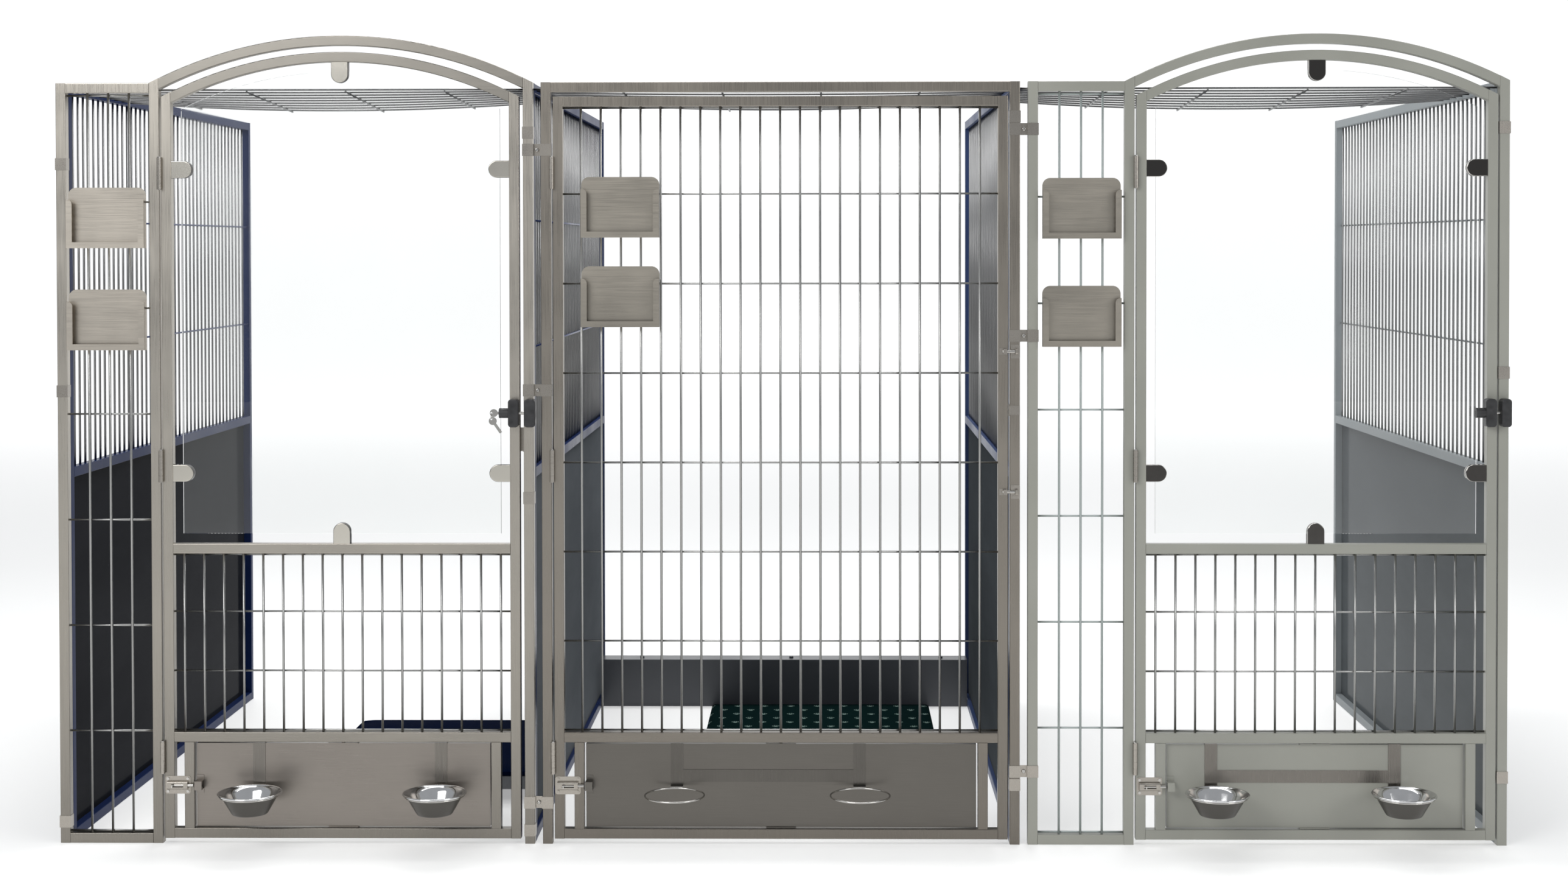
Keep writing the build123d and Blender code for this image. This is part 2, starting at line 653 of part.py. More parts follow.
def latch_keeper(z):
    """Plate on post B with a raised loop for the latch rod."""
    plate = box(*LATCH_KEEPER, -2.0, 0, z - 17.5, z + 17.5)
    plate = fillet(plate.edges().filter_by(Axis.Y), 3.0)
    loop = box(*LATCH_LOOP, -13.0, -1.0, z - 7.5, z + 7.5)
    loop = fillet(loop.faces().sort_by(Axis.Y)[0].edges().filter_by(Axis.X), 4.0)
    screws = [rod_y(sum(LATCH_KEEPER) / 2 - 5, -3.5, -1.5, z + side * 12.0, 3.0)
              for side in (-1, 1)]
    bore = rod_x(LATCH_LOOP[0] - 1, LATCH_LOOP[1] + 1, LATCH_Y, z, LATCH_R + 0.3)
    return weld([plate, loop, *screws]) - bore


def latch_guide(z):
    """Foot on the stile of door B with a short bored guide for the latch rod."""
    x1 = DOOR_RIGHT["b"]
    foot = box(x1 - 22.0, x1 - 1.0, -1.5, 0, z - 8.0, z + 8.0)
    guide = box(x1 - 12.0, x1 - 3.0, -11.5, -1.0, z - 6.5, z + 6.5)
    bore = rod_x(x1 - 30.0, x1 + 5.0, LATCH_Y, z, LATCH_R + 0.1)
    return foot + guide - bore


def latch_rod(z):
    """Rod with a rounded grip end, its tip just short of the loop."""
    x1 = DOOR_RIGHT["b"]
    rod = rod_x(x1 - 15.0, LATCH_LOOP[0] - 1.0, LATCH_Y, z, LATCH_R)
    grip = fillet(rod.edges().filter_by(GeomType.CIRCLE).sort_by(Axis.X)[0], 3.0)
    return grip


# ------------------------------------------------------------------ feeders
HOUSING = (2.0, 66.0)
CHANNEL = (8.0, 60.0)
SLOT = (20.0, 50.0)
BOLT_SPAN = (12.0, 74.0)
TAB_AT = 24.0


def bolt_housing(bay):
    """Plate and raised channel on the hinge-side stile, slotted for the finger tab."""
    x = DOOR_LEFT[bay]
    z = FEEDER_BOLT_Z
    plate = box(x + HOUSING[0], x + HOUSING[1], -1.5, 0, z - 22.5, z + 22.5)
    plate = fillet(plate.edges().filter_by(Axis.Y), 6.0)
    channel = box(x + CHANNEL[0], x + CHANNEL[1], -12.0, -1.0, z - 10.0, z + 10.0)
    channel = fillet(channel.faces().sort_by(Axis.Y)[0].edges().filter_by(Axis.X), 4.0)
    screws = [rod_y(x + sx, -3.5, -1.0, z + sz, 3.5) for sx in (9.0, 59.0) for sz in (-16.0, 16.0)]
    bore = rod_x(x + BOLT_SPAN[0] - 2, x + HOUSING[1] + 1, FEEDER_BOLT_Y, z, FEEDER_BOLT_R + 0.1)
    slot = box(x + SLOT[0], x + SLOT[1], -13.0, FEEDER_BOLT_Y, z - 4.0, z + 4.0)
    return weld([plate, channel, *screws]) - bore - slot


def feeder_bolt(bay):
    """Round bolt with an upright finger tab standing out of the slot."""
    x = DOOR_LEFT[bay]
    z = FEEDER_BOLT_Z
    bolt = rod_x(x + BOLT_SPAN[0], x + BOLT_SPAN[1], FEEDER_BOLT_Y, z, FEEDER_BOLT_R)
    tab = box(x + TAB_AT - 1.5, x + TAB_AT + 1.5, -22.0, FEEDER_BOLT_Y, z - 3.6, z + 3.6)
    return bolt + tab


def feeder_half(bay):
    """Half the width of a feeder panel."""
    opening = DOOR_RIGHT[bay] - DOOR_LEFT[bay] - 2 * (FEEDER_INSET + TUBE)
    return opening / 2 - FEEDER_CLEAR


def feeder_panel(bay):
    """Turning panel, the bolt keeper on it and its top and bottom pivots."""
    x = DOOR_MIDDLE[bay]
    half = feeder_half(bay)
    front = FEEDER_Y - FEEDER_SHEET / 2
    back = front + FEEDER_SHEET
    flange = back + FEEDER_FLANGE
    sheet = weld([
        box(x - half, x + half, front, back, FEEDER_LOW, FEEDER_HIGH),
        box(x - half, x + half, front, flange, FEEDER_HIGH - FEEDER_SHEET, FEEDER_HIGH),
        box(x - half, x + half, front, flange, FEEDER_LOW, FEEDER_LOW + FEEDER_SHEET),
        box(x - half, x - half + FEEDER_SHEET, front, flange, FEEDER_LOW, FEEDER_HIGH),
        box(x + half - FEEDER_SHEET, x + half, front, flange, FEEDER_LOW, FEEDER_HIGH),
    ])
    keeper_x = x - half
    z = FEEDER_BOLT_Z
    loop = box(keeper_x, keeper_x + 18.0, -13.0, front, z - 11.0, z + 11.0)
    loop -= box(keeper_x - 1, keeper_x + 19.0, -2.0, front - 1.5, z - 9.5, z + 9.5)
    foot = box(keeper_x, keeper_x + 18.0, front - 1.5, front, z - 23.0, z + 23.0)
    bore = rod_x(keeper_x - 1, keeper_x + 19.0, FEEDER_BOLT_Y, z, FEEDER_BOLT_R + 0.3)
    top_z = FEEDER_HIGH
    top = box(x - 37.5, x + 37.5, front - 5, flange, top_z, top_z + 2)
    top += rod_z(x, FEEDER_Y, top_z + 1, top_z + 11.0, PIVOT_R)
    low_z = FEEDER_LOW
    low = box(x - 37.5, x + 37.5, front - 5, flange, low_z - 2, low_z)
    low += rod_z(x, FEEDER_Y, low_z - 11.0, low_z - 1, PIVOT_R)
    return [sheet, loop + foot - bore, top, low]


def rack_xs(bay):
    return spread(DOOR_MIDDLE[bay] + RACK_OFFSET[bay], 2, STRAP_SPACING)


def bowl_rack(x):
    """Strap hooked over the panel's top edge, with a forward tab and the bowl's ring."""
    x0 = x - STRAP_WIDE / 2
    x1 = x + STRAP_WIDE / 2
    face = FEEDER_Y - FEEDER_SHEET / 2
    flange = FEEDER_Y + FEEDER_SHEET / 2 + FEEDER_FLANGE
    tab_z = RING_Z + RING_WIRE_R - 0.2
    over = FEEDER_HIGH + STRAP_THICK
    ring = Pos(x, RING_Y, RING_Z) * Torus(RING_R, RING_WIRE_R)
    return weld([
        box(x0, x1, face - STRAP_THICK, face, tab_z, over),
        box(x0, x1, face - STRAP_THICK, flange + STRAP_THICK, FEEDER_HIGH, over),
        box(x0, x1, flange, flange + STRAP_THICK, FEEDER_HIGH - 8.0, FEEDER_HIGH + 1),
        box(x0, x1, RING_Y + RING_R + 0.6, face, tab_z, tab_z + STRAP_THICK),
        ring,
    ])


def bowl_racks(bay):
    """The two racks, on bays B and C joined by a flat crossbar."""
    left, right = rack_xs(bay)
    racks = [bowl_rack(left), bowl_rack(right)]
    if bay == "a":
        return racks
    face = FEEDER_Y - FEEDER_SHEET / 2
    bar = box(left, right, face - STRAP_THICK, face, 155.0, 186.0)
    return [weld([*racks, bar])]


def bowl(x):
    """Flared feeding bowl with a rolled-out rim, open at the top."""
    t = BOWL_SHEET
    lip = 2.0
    outline = Polyline(
        (0, 0), (BOWL_BASE_R, 0), (BOWL_MOUTH_R, BOWL_TALL - lip), (BOWL_RIM_R, BOWL_TALL - lip),
        (BOWL_RIM_R, BOWL_TALL), (BOWL_MOUTH_R - t, BOWL_TALL), (BOWL_BASE_R - t, t), (0, t),
        close=True)
    profile = Plane.XZ * make_face(outline)
    return Pos(x, RING_Y, BOWL_BASE_Z) * revolve(profile, Axis.Z)


# ------------------------------------------------------------------ inside the runs
def kick_panel():
    """Low sheet across the back of bay B, with its top edge folded back."""
    x0 = WALL_LEFT[1] + TUBE
    x1 = WALL_LEFT[2]
    back = KICK_Y + KICK_SHEET
    sheet = weld([
        box(x0, x1, KICK_Y, back, 0, KICK_TALL),
        box(x0, x1, KICK_Y, KICK_Y + KICK_FLANGE, KICK_TALL - KICK_SHEET, KICK_TALL),
        box(x0, x1, KICK_Y, KICK_Y + 20.0, 0, KICK_SHEET),
    ])
    fixings = []
    for x in spread(0, 3, 490.0):
        y = KICK_Y + KICK_FLANGE / 2
        head = rod_z(x, y, KICK_TALL, KICK_TALL + 5.0, 7.0)
        fixings.append(fillet(head.faces().sort_by(Axis.Z)[-1].edges(), 2.0))
    return [sheet, *fixings]


def bed_frame():
    """Four rails on short round feet."""
    x0, x1 = BED_X
    y0, y1 = BED_Y
    wide, tall = BED_RAIL
    low = BED_FOOT
    high = low + tall
    rails = [
        box(x0, x1, y0, y0 + wide, low, high),
        box(x0, x1, y1 - wide, y1, low, high),
        box(x0, x0 + wide, y0 + wide, y1 - wide, low, high),
        box(x1 - wide, x1, y0 + wide, y1 - wide, low, high),
    ]
    inset = 40.0
    feet = [rod_z(x, y, 0, low, 9.0)
            for x in (x0 + inset, x1 - inset) for y in (y0 + wide / 2, y1 - wide / 2)]
    return [*rails, *feet]


def bed_mattress():
    """Thin pad lying on the bed's rails."""
    low = BED_FOOT + BED_RAIL[1]
    pad = box(BED_X[0] + 3, BED_X[1] - 3, BED_Y[0] + 3, BED_Y[1] - 3, low, low + MATTRESS_THICK)
    pad = fillet(pad.edges().filter_by(Axis.Z), 12.0)
    return fillet(pad.faces().sort_by(Axis.Z)[-1].edges(), 5.0)


def floor_mat():
    y1 = KICK_Y - 1.0
    mat = box(*MAT_X, y1 - MAT_LONG, y1, 0, MAT_THICK)
    mat = fillet(mat.edges().filter_by(Axis.Z), 8.0)
    return fillet(mat.faces().sort_by(Axis.Z)[-1].edges(), 3.0)


# ------------------------------------------------------------------ write every node
os.makedirs("parts", exist_ok=True)

for bay in "ac":
    save(f"frame_{bay}", narrow_frame(bay))
    save(f"frame_{bay}_arch", [frame_arch(bay)])
save("frame_b", plain_frame())
save("side_grilles", [side_grille("a", 0.0), side_grille("c", 10.0)])
save("wall_frames", [tube for x in WALL_LEFT for tube in wall_frame(x)])
save("wall_bars", [wall_bars(x) for x in WALL_LEFT])
panel_left = (
    WALL_LEFT[0],
    WALL_LEFT[1] + (TUBE - WALL_PANEL) / 2,
    WALL_LEFT[2] + (TUBE - WALL_PANEL) / 2,
    WALL_LEFT[3] + TUBE - WALL_PANEL,
)
save("wall_panels", [wall_panel(x) for x in panel_left])
roof_wires = []
for i in range(3):
    roof_wires += roof_strip(WALL_LEFT[i] + TUBE, WALL_LEFT[i + 1])
save("roof_mesh", roof_wires)

joints = [(side * PITCH / 2, z) for side, zs in zip((-1, 1), DOUBLE_CLIPS) for z in zs]
singles = [single_clip(x, z) for x, zs in SINGLE_CLIPS.items() for z in zs]
save("frame_clips", [*(double_clip(x, z) for x, z in joints), *singles])
save("clip_bolts", [clip_bolt(x, z) for x, z in joints])

narrow_middle = {bay: BAY_LEFT[bay] + NARROW[bay] / 2 for bay in "ac"}
holders = [(narrow_middle["a"] - 3, 1501.0), (narrow_middle["a"] - 3, 1245.0),
           (narrow_middle["c"] + 1, 1522.0), (narrow_middle["c"] + 1, 1252.0)]
save("side_card_holders", [card_holder(x, z) for x, z in holders])
save("door_b_card_holders", [card_holder(-401.0, z) for z in (1526.0, 1302.0)])

hinges = [(bay, z) for bay in "abc" for z in HINGE_HEIGHTS]
save("hinge_post_leaves", [hinge_leaf(bay, z, False) for bay, z in hinges])
save("hinge_pins", [hinge_pin(bay, z) for bay, z in hinges])
for bay in "abc":
    save(f"door_{bay}_hinge_leaves", [hinge_leaf(bay, z, True) for z in HINGE_HEIGHTS])

GRILLE_LOW = LOWER_RAIL + TUBE
arched_wires = (GRILLE_LOW + 3.5, 434.5, 584.5, MID_RAIL - 3.5)
square_wires = [GRILLE_LOW + 4.5 + 225.0 * i for i in range(7)]
for bay in "ac":
    save(f"door_{bay}_frame", arched_door_frame(bay))
    arch = arch_tube(DOOR_LEFT[bay] + TUBE, DOOR_RIGHT[bay] - TUBE, DOOR_ARC[bay])
    save(f"door_{bay}_arch", [arch])
    save(f"door_{bay}_grille", [door_grille(bay, 17, MID_RAIL, arched_wires)])
    save(f"door_{bay}_glass", [door_glass(bay)])
    save(f"door_{bay}_clamps", door_clamps(bay))
    save(f"lock_{bay}_body", [lock_body(bay)])
    save(f"lock_{bay}_bolt", [lock_bolt(bay)])
    save(f"feeder_{bay}_bolt_housing", [bolt_housing(bay)])
    for side, x in zip(("left", "right"), rack_xs(bay)):
        save(f"bowl_{bay}_{side}", [bowl(x)])
save("door_b_frame", square_door_frame())
door_b_top = STILE_TOP - 1.0 - TUBE
save("door_b_grille", [door_grille("b", 21, door_b_top, [*square_wires, door_b_top - 3.0])])
save("lock_a_keys", lock_keys())
save("lock_keepers", [lock_keeper("a"), lock_keeper("c")])
save("stops_and_latch_keepers",
     [door_stop(), door_catch(), *(latch_keeper(z) for z in LATCH_HEIGHTS.values())])
save("door_b_latch_plates",
     [*(latch_guide(z) for z in LATCH_HEIGHTS.values()), bolt_housing("b")])
for name, z in LATCH_HEIGHTS.items():
    save(f"latch_b_{name}_rod", [latch_rod(z)])

for bay in "abc":
    save(f"feeder_{bay}_bolt", [feeder_bolt(bay)])
    save(f"feeder_{bay}_panel", feeder_panel(bay))
    save(f"feeder_{bay}_bowl_racks", bowl_racks(bay))

save("kick_panel", kick_panel())
save("bed_frame", bed_frame())
save("bed_mattress", [bed_mattress()])
save("floor_mat", [floor_mat()])
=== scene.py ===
"""Looks of the three-bay kennel bank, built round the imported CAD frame. Lengths are in metres."""
import math
import random

import bmesh
import bpy
from mathutils import Matrix, Vector


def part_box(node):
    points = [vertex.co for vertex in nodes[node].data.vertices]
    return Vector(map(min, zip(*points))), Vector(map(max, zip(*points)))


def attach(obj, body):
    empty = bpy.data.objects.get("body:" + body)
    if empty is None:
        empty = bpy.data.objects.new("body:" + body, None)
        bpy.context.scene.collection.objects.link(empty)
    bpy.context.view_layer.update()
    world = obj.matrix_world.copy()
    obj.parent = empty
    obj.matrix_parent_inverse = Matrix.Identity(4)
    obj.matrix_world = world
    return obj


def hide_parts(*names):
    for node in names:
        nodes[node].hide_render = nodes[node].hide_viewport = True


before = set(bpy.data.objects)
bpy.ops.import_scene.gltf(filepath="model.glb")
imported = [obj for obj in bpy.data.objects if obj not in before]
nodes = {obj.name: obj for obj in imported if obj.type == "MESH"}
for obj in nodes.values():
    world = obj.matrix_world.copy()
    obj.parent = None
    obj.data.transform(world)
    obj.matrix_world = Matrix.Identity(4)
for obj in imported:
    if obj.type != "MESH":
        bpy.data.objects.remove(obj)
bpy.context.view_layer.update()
collection = bpy.context.scene.collection

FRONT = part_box("frame_b")[0].y          # front face of the doors
CLAMP_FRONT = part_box("door_c_clamps")[0].y + 0.0002     # just behind a clamp's flat face
TUBE = 0.025
BAR_R = 0.003
WIRE_R = 0.0025
WELD = 0.0004
BAR_PITCH = 0.05
INNER_WALLS = (-0.6325, 0.5875)         # middles of the two inner walls
WALL_STEP = 1.21                        # about the distance between two walls
BOLT_HEIGHT = 0.148                     # of the barrel bolts on the feeder doors
PLATE_HALF = 0.0105                     # half the height of a barrel bolt's raised channel
ROUND = 16                              # sides of a round bar


# ------------------------------------------------------------------ materials
class Paint:
    """A material with a few short helpers for building its node tree."""

    def __init__(self, name, base, roughness, metallic=0.0, **sockets):
        self.mat = bpy.data.materials.new(name)
        self.mat.use_nodes = True
        self.tree = self.mat.node_tree
        self.bsdf = self.tree.nodes["Principled BSDF"]
        self.set("Base Color", (*base, 1.0))
        self.set("Roughness", roughness)
        self.set("Metallic", metallic)
        for socket, value in sockets.items():
            self.set(socket.replace("_", " "), value)
        self.coords = self.node("ShaderNodeTexCoord").outputs["Object"]

    def set(self, socket, value):
        self.bsdf.inputs[socket].default_value = value

    def node(self, kind, **properties):
        made = self.tree.nodes.new(kind)
        for name, value in properties.items():
            setattr(made, name, value)
        return made

    def link(self, source, target):
        self.tree.links.new(source, target)

    def plug(self, source, socket):
        self.link(source, self.bsdf.inputs[socket])

    def stretch(self, scale):
        """Object coordinates multiplied by a scale for each axis."""
        mapping = self.node("ShaderNodeMapping")
        mapping.inputs["Scale"].default_value = scale
        self.link(self.coords, mapping.inputs["Vector"])
        return mapping.outputs["Vector"]

    def along(self, axis):
        """The object coordinate along X, Y or Z."""
        split = self.node("ShaderNodeSeparateXYZ")
        self.link(self.coords, split.inputs[0])
        return split.outputs[axis]

    def noise(self, scale, detail=3.0, stretch=(1, 1, 1), rough=0.5):
        made = self.node("ShaderNodeTexNoise")
        made.inputs["Scale"].default_value = scale
        made.inputs["Detail"].default_value = detail
        made.inputs["Roughness"].default_value = rough
        self.link(self.stretch(stretch), made.inputs["Vector"])
        return made.outputs["Fac"]

    def ramp(self, source, low, high, start=0.35, end=0.65):
        """Maps a value between two stops to two colours or greys."""
        made = self.node("ShaderNodeValToRGB")
        stops = made.color_ramp.elements
        stops[0].position, stops[1].position = start, end
        stops[0].color = (*low, 1.0) if hasattr(low, "__len__") else (low, low, low, 1.0)
        stops[1].color = (*high, 1.0) if hasattr(high, "__len__") else (high, high, high, 1.0)
        self.link(source, made.inputs["Fac"])
        return made.outputs["Color"]

    def mix(self, factor, low, high, blend="MIX"):
        """Mixes two colours, either of which may be a socket."""
        made = self.node("ShaderNodeMix", data_type="RGBA", blend_type=blend)
        for index, value in ((0, factor), (6, low), (7, high)):
            target = made.inputs[index]
            if hasattr(value, "is_output"):
                self.link(value, target)
            elif index == 0:
                target.default_value = value
            else:
                target.default_value = (*value, 1.0)
        return made.outputs[2]

    def math(self, operation, a, b=0.0):
        made = self.node("ShaderNodeMath", operation=operation)
        for index, value in enumerate((a, b)):
            if hasattr(value, "is_output"):
                self.link(value, made.inputs[index])
            else:
                made.inputs[index].default_value = value
        return made.outputs[0]

    def bump(self, height, strength, distance, after=None):
        made = self.node("ShaderNodeBump")
        made.inputs["Strength"].default_value = strength
        made.inputs["Distance"].default_value = distance
        self.link(height, made.inputs["Height"])
        if after is not None:
            self.link(after, made.inputs["Normal"])
        self.plug(made.outputs["Normal"], "Normal")
        return made.outputs["Normal"]


def brushed(name, base, roughness, run, grain=900.0, floor_shade=1.0):
    """Steel with fine scratches along one axis and soft smudges, and painted shade that darkens it
    towards the floor.
    """
    paint = Paint(name, base, roughness, 1.0, Anisotropic=0.35)
    along = [1.0, 1.0, 1.0]
    if run is not None:
        along[run] = 0.012
    scratches = paint.noise(grain, 2.0, along, 0.6)
    smudges = paint.noise(5.0, 4.0)
    dark = tuple(c * 0.88 for c in base)
    tint = paint.mix(paint.ramp(smudges, 0.0, 1.0, 0.3, 0.7), dark, base)
    wear_and_shade = paint.mix(paint.ramp(scratches, 0.0, 0.35, 0.4, 0.75), tint, dark)
    # Painted shade: the colour is multiplied darker from a metre high downwards.
    if floor_shade < 1.0:
        floor_shade_ramp = paint.ramp(paint.along("Z"), floor_shade, 1.0, 0.1, 1.0)
        wear_and_shade = paint.mix(1.0, wear_and_shade, floor_shade_ramp, "MULTIPLY")
    paint.plug(wear_and_shade, "Base Color")
    rough = paint.mix(0.4, paint.ramp(scratches, roughness * 0.75, roughness * 1.35),
                      paint.ramp(smudges, roughness * 0.7, roughness * 1.5, 0.25, 0.75))
    paint.plug(rough, "Roughness")
    paint.bump(scratches, 0.06, 0.0003)
    return paint.mat


def powder_coat(name, base, roughness, gloss=0.2, specular=0.5):
    """Sprayed coat with a faint orange peel and dust."""
    paint = Paint(name, base, roughness, 0.0, Coat_Weight=gloss, Coat_Roughness=0.12,
                  Specular_IOR_Level=specular)
    dust = paint.noise(3.5, 5.0)
    peel = paint.noise(900.0, 2.0)
    lighter = tuple(min(1.0, c * 1.12 + 0.012) for c in base)
    paint.plug(paint.mix(paint.ramp(dust, 0.0, 0.7, 0.35, 0.75), base, lighter), "Base Color")
    paint.plug(paint.ramp(dust, roughness * 0.8, roughness * 1.3, 0.3, 0.7), "Roughness")
    paint.bump(peel, 0.10, 0.0006)
    return paint.mat


def gloss_sheet(name, base, specular, roughness=0.09):
    """Smooth laminate sheet with wipe marks and fine scuffs."""
    paint = Paint(name, base, roughness, 0.0, Specular_IOR_Level=specular)
    wipes = paint.noise(2.2, 5.0, (1.0, 0.6, 2.0), 0.62)
    scuffs = paint.noise(60.0, 4.0, (1.0, 0.08, 1.0), 0.7)
    lighter = tuple(min(1.0, c * 1.25 + 0.006) for c in base)
    paint.plug(paint.mix(paint.ramp(wipes, 0.0, 0.8, 0.35, 0.7), base, lighter), "Base Color")
    rough = paint.mix(0.35, paint.ramp(wipes, roughness * 0.7, roughness * 2.0, 0.3, 0.75),
                      paint.ramp(scuffs, roughness * 0.6, roughness * 2.6, 0.5, 0.8))
    paint.plug(rough, "Roughness")
    paint.bump(wipes, 0.05, 0.002)
    return paint.mat


def polished(name, base, roughness):
    """Bright metal with faint smears."""
    paint = Paint(name, base, roughness, 1.0)
    smear = paint.noise(35.0, 4.0)
    fine = paint.noise(1500.0, 2.0)
    paint.plug(paint.ramp(smear, roughness * 0.6, roughness * 2.2, 0.3, 0.75), "Roughness")
    paint.plug(paint.mix(paint.ramp(smear, 0.0, 0.5), base, tuple(c * 0.88 for c in base)),
               "Base Color")
    paint.bump(fine, 0.03, 0.0002)
    return paint.mat


def smooth_wire(name, base, roughness, metallic=1.0):
    """Drawn wire: an even bright finish with very fine draw lines."""
    paint = Paint(name, base, roughness, metallic)
    lines = paint.noise(2400.0, 2.0, (1.0, 1.0, 0.01))
    paint.plug(paint.ramp(lines, roughness * 0.85, roughness * 1.15), "Roughness")
    paint.plug(paint.mix(paint.ramp(lines, 0.0, 0.5), base, tuple(c * 0.88 for c in base)),
               "Base Color")
    return paint.mat


def clear_glass():
    """Thin clear sheet with a faint green body colour and wipe marks in its gloss."""
    paint = Paint("clear_glass", (0.985, 0.995, 0.99), 0.02, 0.0, IOR=1.5, Transmission_Weight=1.0)
    wipes = paint.noise(6.0, 5.0, (1.0, 1.0, 0.5))
    paint.plug(paint.ramp(wipes, 0.005, 0.06, 0.45, 0.85), "Roughness")
    paint.plug(paint.mix(paint.ramp(wipes, 0.0, 0.4), (0.99, 0.997, 0.993), (0.97, 0.985, 0.977)),
               "Base Color")
    return paint.mat


def moulded(name, base, roughness):
    """Spark-eroded moulded plastic."""
    paint = Paint(name, base, roughness)
    grain = paint.noise(2600.0, 2.0)
    rub = paint.noise(60.0, 4.0)
    paint.plug(paint.mix(paint.ramp(rub, 0.0, 0.6), base, tuple(c * 1.8 + 0.01 for c in base)),
               "Base Color")
    paint.plug(paint.ramp(rub, roughness * 0.75, roughness * 1.2), "Roughness")
    paint.bump(grain, 0.18, 0.0004)
    return paint.mat


def vinyl(name, base):
    """Grained upholstery vinyl: pebbled skin, soft creases and rubbed highlights."""
    paint = Paint(name, base, 0.36, 0.0, Specular_IOR_Level=0.0002)
    pebble = paint.node("ShaderNodeTexVoronoi", feature="SMOOTH_F1")
    pebble.inputs["Scale"].default_value = 520.0
    paint.link(paint.coords, pebble.inputs["Vector"])
    crease = paint.noise(14.0, 5.0, (1.0, 0.5, 1.0), 0.6)
    rub = paint.noise(7.0, 4.0)
    paint.plug(paint.mix(paint.ramp(rub, 0.0, 0.7, 0.4, 0.8), base,
                         tuple(c * 1.5 + 0.0005 for c in base)), "Base Color")
    paint.plug(paint.ramp(rub, 0.28, 0.46, 0.3, 0.7), "Roughness")
    soft = paint.bump(crease, 0.30, 0.004)
    paint.bump(pebble.outputs["Distance"], 0.22, 0.0006, soft)
    return paint.mat


def brushed_set(name, base, roughness, floor_shade):
    """The same steel brushed along X, Y and Z."""
    return [brushed(f"{name}_{axis}", base, roughness, i, floor_shade=floor_shade)
            for i, axis in enumerate("xyz")]


STAINLESS = brushed_set("stainless", (0.50, 0.465, 0.41), 0.30, 0.50)
ARCH_STEEL = brushed("arch_steel", (0.33, 0.31, 0.275), 0.34, 0)
# Bay B's frame and door: the same stainless steel as bay A, painted darker as shade.
SHADED_STAINLESS = brushed_set("shaded_stainless", (0.33, 0.30, 0.26), 0.30, 0.60)
GREY_GREEN = powder_coat("grey_green_coat", (0.268, 0.268, 0.234), 0.36)
NAVY = powder_coat("navy_coat", (0.007, 0.017, 0.068), 0.30, 0.0, 0.04)
STEEL_BLUE = powder_coat("steel_blue_coat", (0.028, 0.046, 0.115), 0.32, 0.0, 0.08)
LIGHT_GREY = powder_coat("light_grey_coat", (0.22, 0.24, 0.25), 0.36, 0.0, 0.1)
BRIGHT_WIRE = smooth_wire("bright_wire", (0.36, 0.36, 0.35), 0.30)
PALE_WIRE = smooth_wire("pale_wire", (0.36, 0.40, 0.39), 0.40, 0.3)
WALL_WIRE = smooth_wire("wall_wire", (0.24, 0.24, 0.24), 0.36)
# The roof mesh's drawn wire, painted darker than the other wires as shade.
SHADED_ROOF_WIRE = smooth_wire("shaded_roof_wire", (0.16, 0.16, 0.16), 0.36)
NAVY_WIRE = powder_coat("navy_wire", (0.012, 0.025, 0.10), 0.3, 0.1, 0.2)
GREY_WIRE = powder_coat("grey_wire", (0.25, 0.27, 0.28), 0.34)
FITTING = brushed("brushed_fitting", (0.40, 0.37, 0.33), 0.28, None, 700.0)
# Bay A's card holders: the same sheet as CARD, painted lighter as light falling on bay A.
LIT_CARD = brushed("lit_card_sheet", (0.58, 0.53, 0.46), 0.34, 0, 900.0)
CARD = brushed("card_sheet", (0.42, 0.385, 0.33), 0.34, 0, 900.0)
FEEDER_STEEL = brushed("feeder_sheet", (0.265, 0.24, 0.215), 0.32, 0, 900.0)
# Bay B's feeder door: the same steel sheet as bay A's, painted darker as shade.
SHADED_FEEDER = brushed("shaded_feeder_sheet", (0.150, 0.140, 0.126), 0.34, 0, 900.0)
STRAP = brushed("strap_steel", (0.21, 0.195, 0.175), 0.30, 2)
# Bay B's bowl straps: the same steel as STRAP, painted darker as shade.
SHADED_STRAP = brushed("shaded_strap_steel", (0.125, 0.117, 0.106), 0.30, 2)
CLAMP_PALE = brushed("pale_clamp", (0.70, 0.665, 0.59), 0.22, None)
# Near-black polished steel on the glass clamps: a painted dark reflection.
CLAMP_DARK_REFLECTION = polished("clamp_painted_dark_reflection", (0.085, 0.08, 0.075), 0.09)
CHROME = polished("polished_steel", (0.50, 0.485, 0.46), 0.10)
BOWL_STEEL = polished("bowl_steel", (0.72, 0.72, 0.72), 0.07)
# The bowls' outside: a satin finish, painted near black as shade under the rim.
BOWL_SATIN_SHADED = brushed("bowl_satin_shaded", (0.105, 0.10, 0.092), 0.36, None, 600.0)
GLASS = clear_glass()
LOCK_BLACK = moulded("lock_black", (0.012, 0.012, 0.013), 0.42)
PANEL_NAVY = gloss_sheet("panel_near_black", (0.009, 0.010, 0.013), 0.003)
PANEL_GREY = gloss_sheet("panel_mid_grey", (0.095, 0.103, 0.112), 0.0)
PANEL_SLATE = gloss_sheet("panel_slate", (0.050, 0.056, 0.061), 0.0)
PANEL_PALE = gloss_sheet("panel_pale_slate", (0.075, 0.083, 0.088), 0.008)
KICK = powder_coat("kick_coat", (0.045, 0.049, 0.058), 0.33)
BED_COAT = powder_coat("bed_coat", (0.075, 0.08, 0.088), 0.38)
BED_VINYL = vinyl("bed_vinyl", (0.0015, 0.0045, 0.019))


# ------------------------------------------------------------------ dressing CAD nodes
def dress(mat, *names):
    """One material on whole CAD nodes."""
    for name in names:
        obj = nodes[name]
        obj.data.materials.clear()
        obj.data.materials.append(mat)


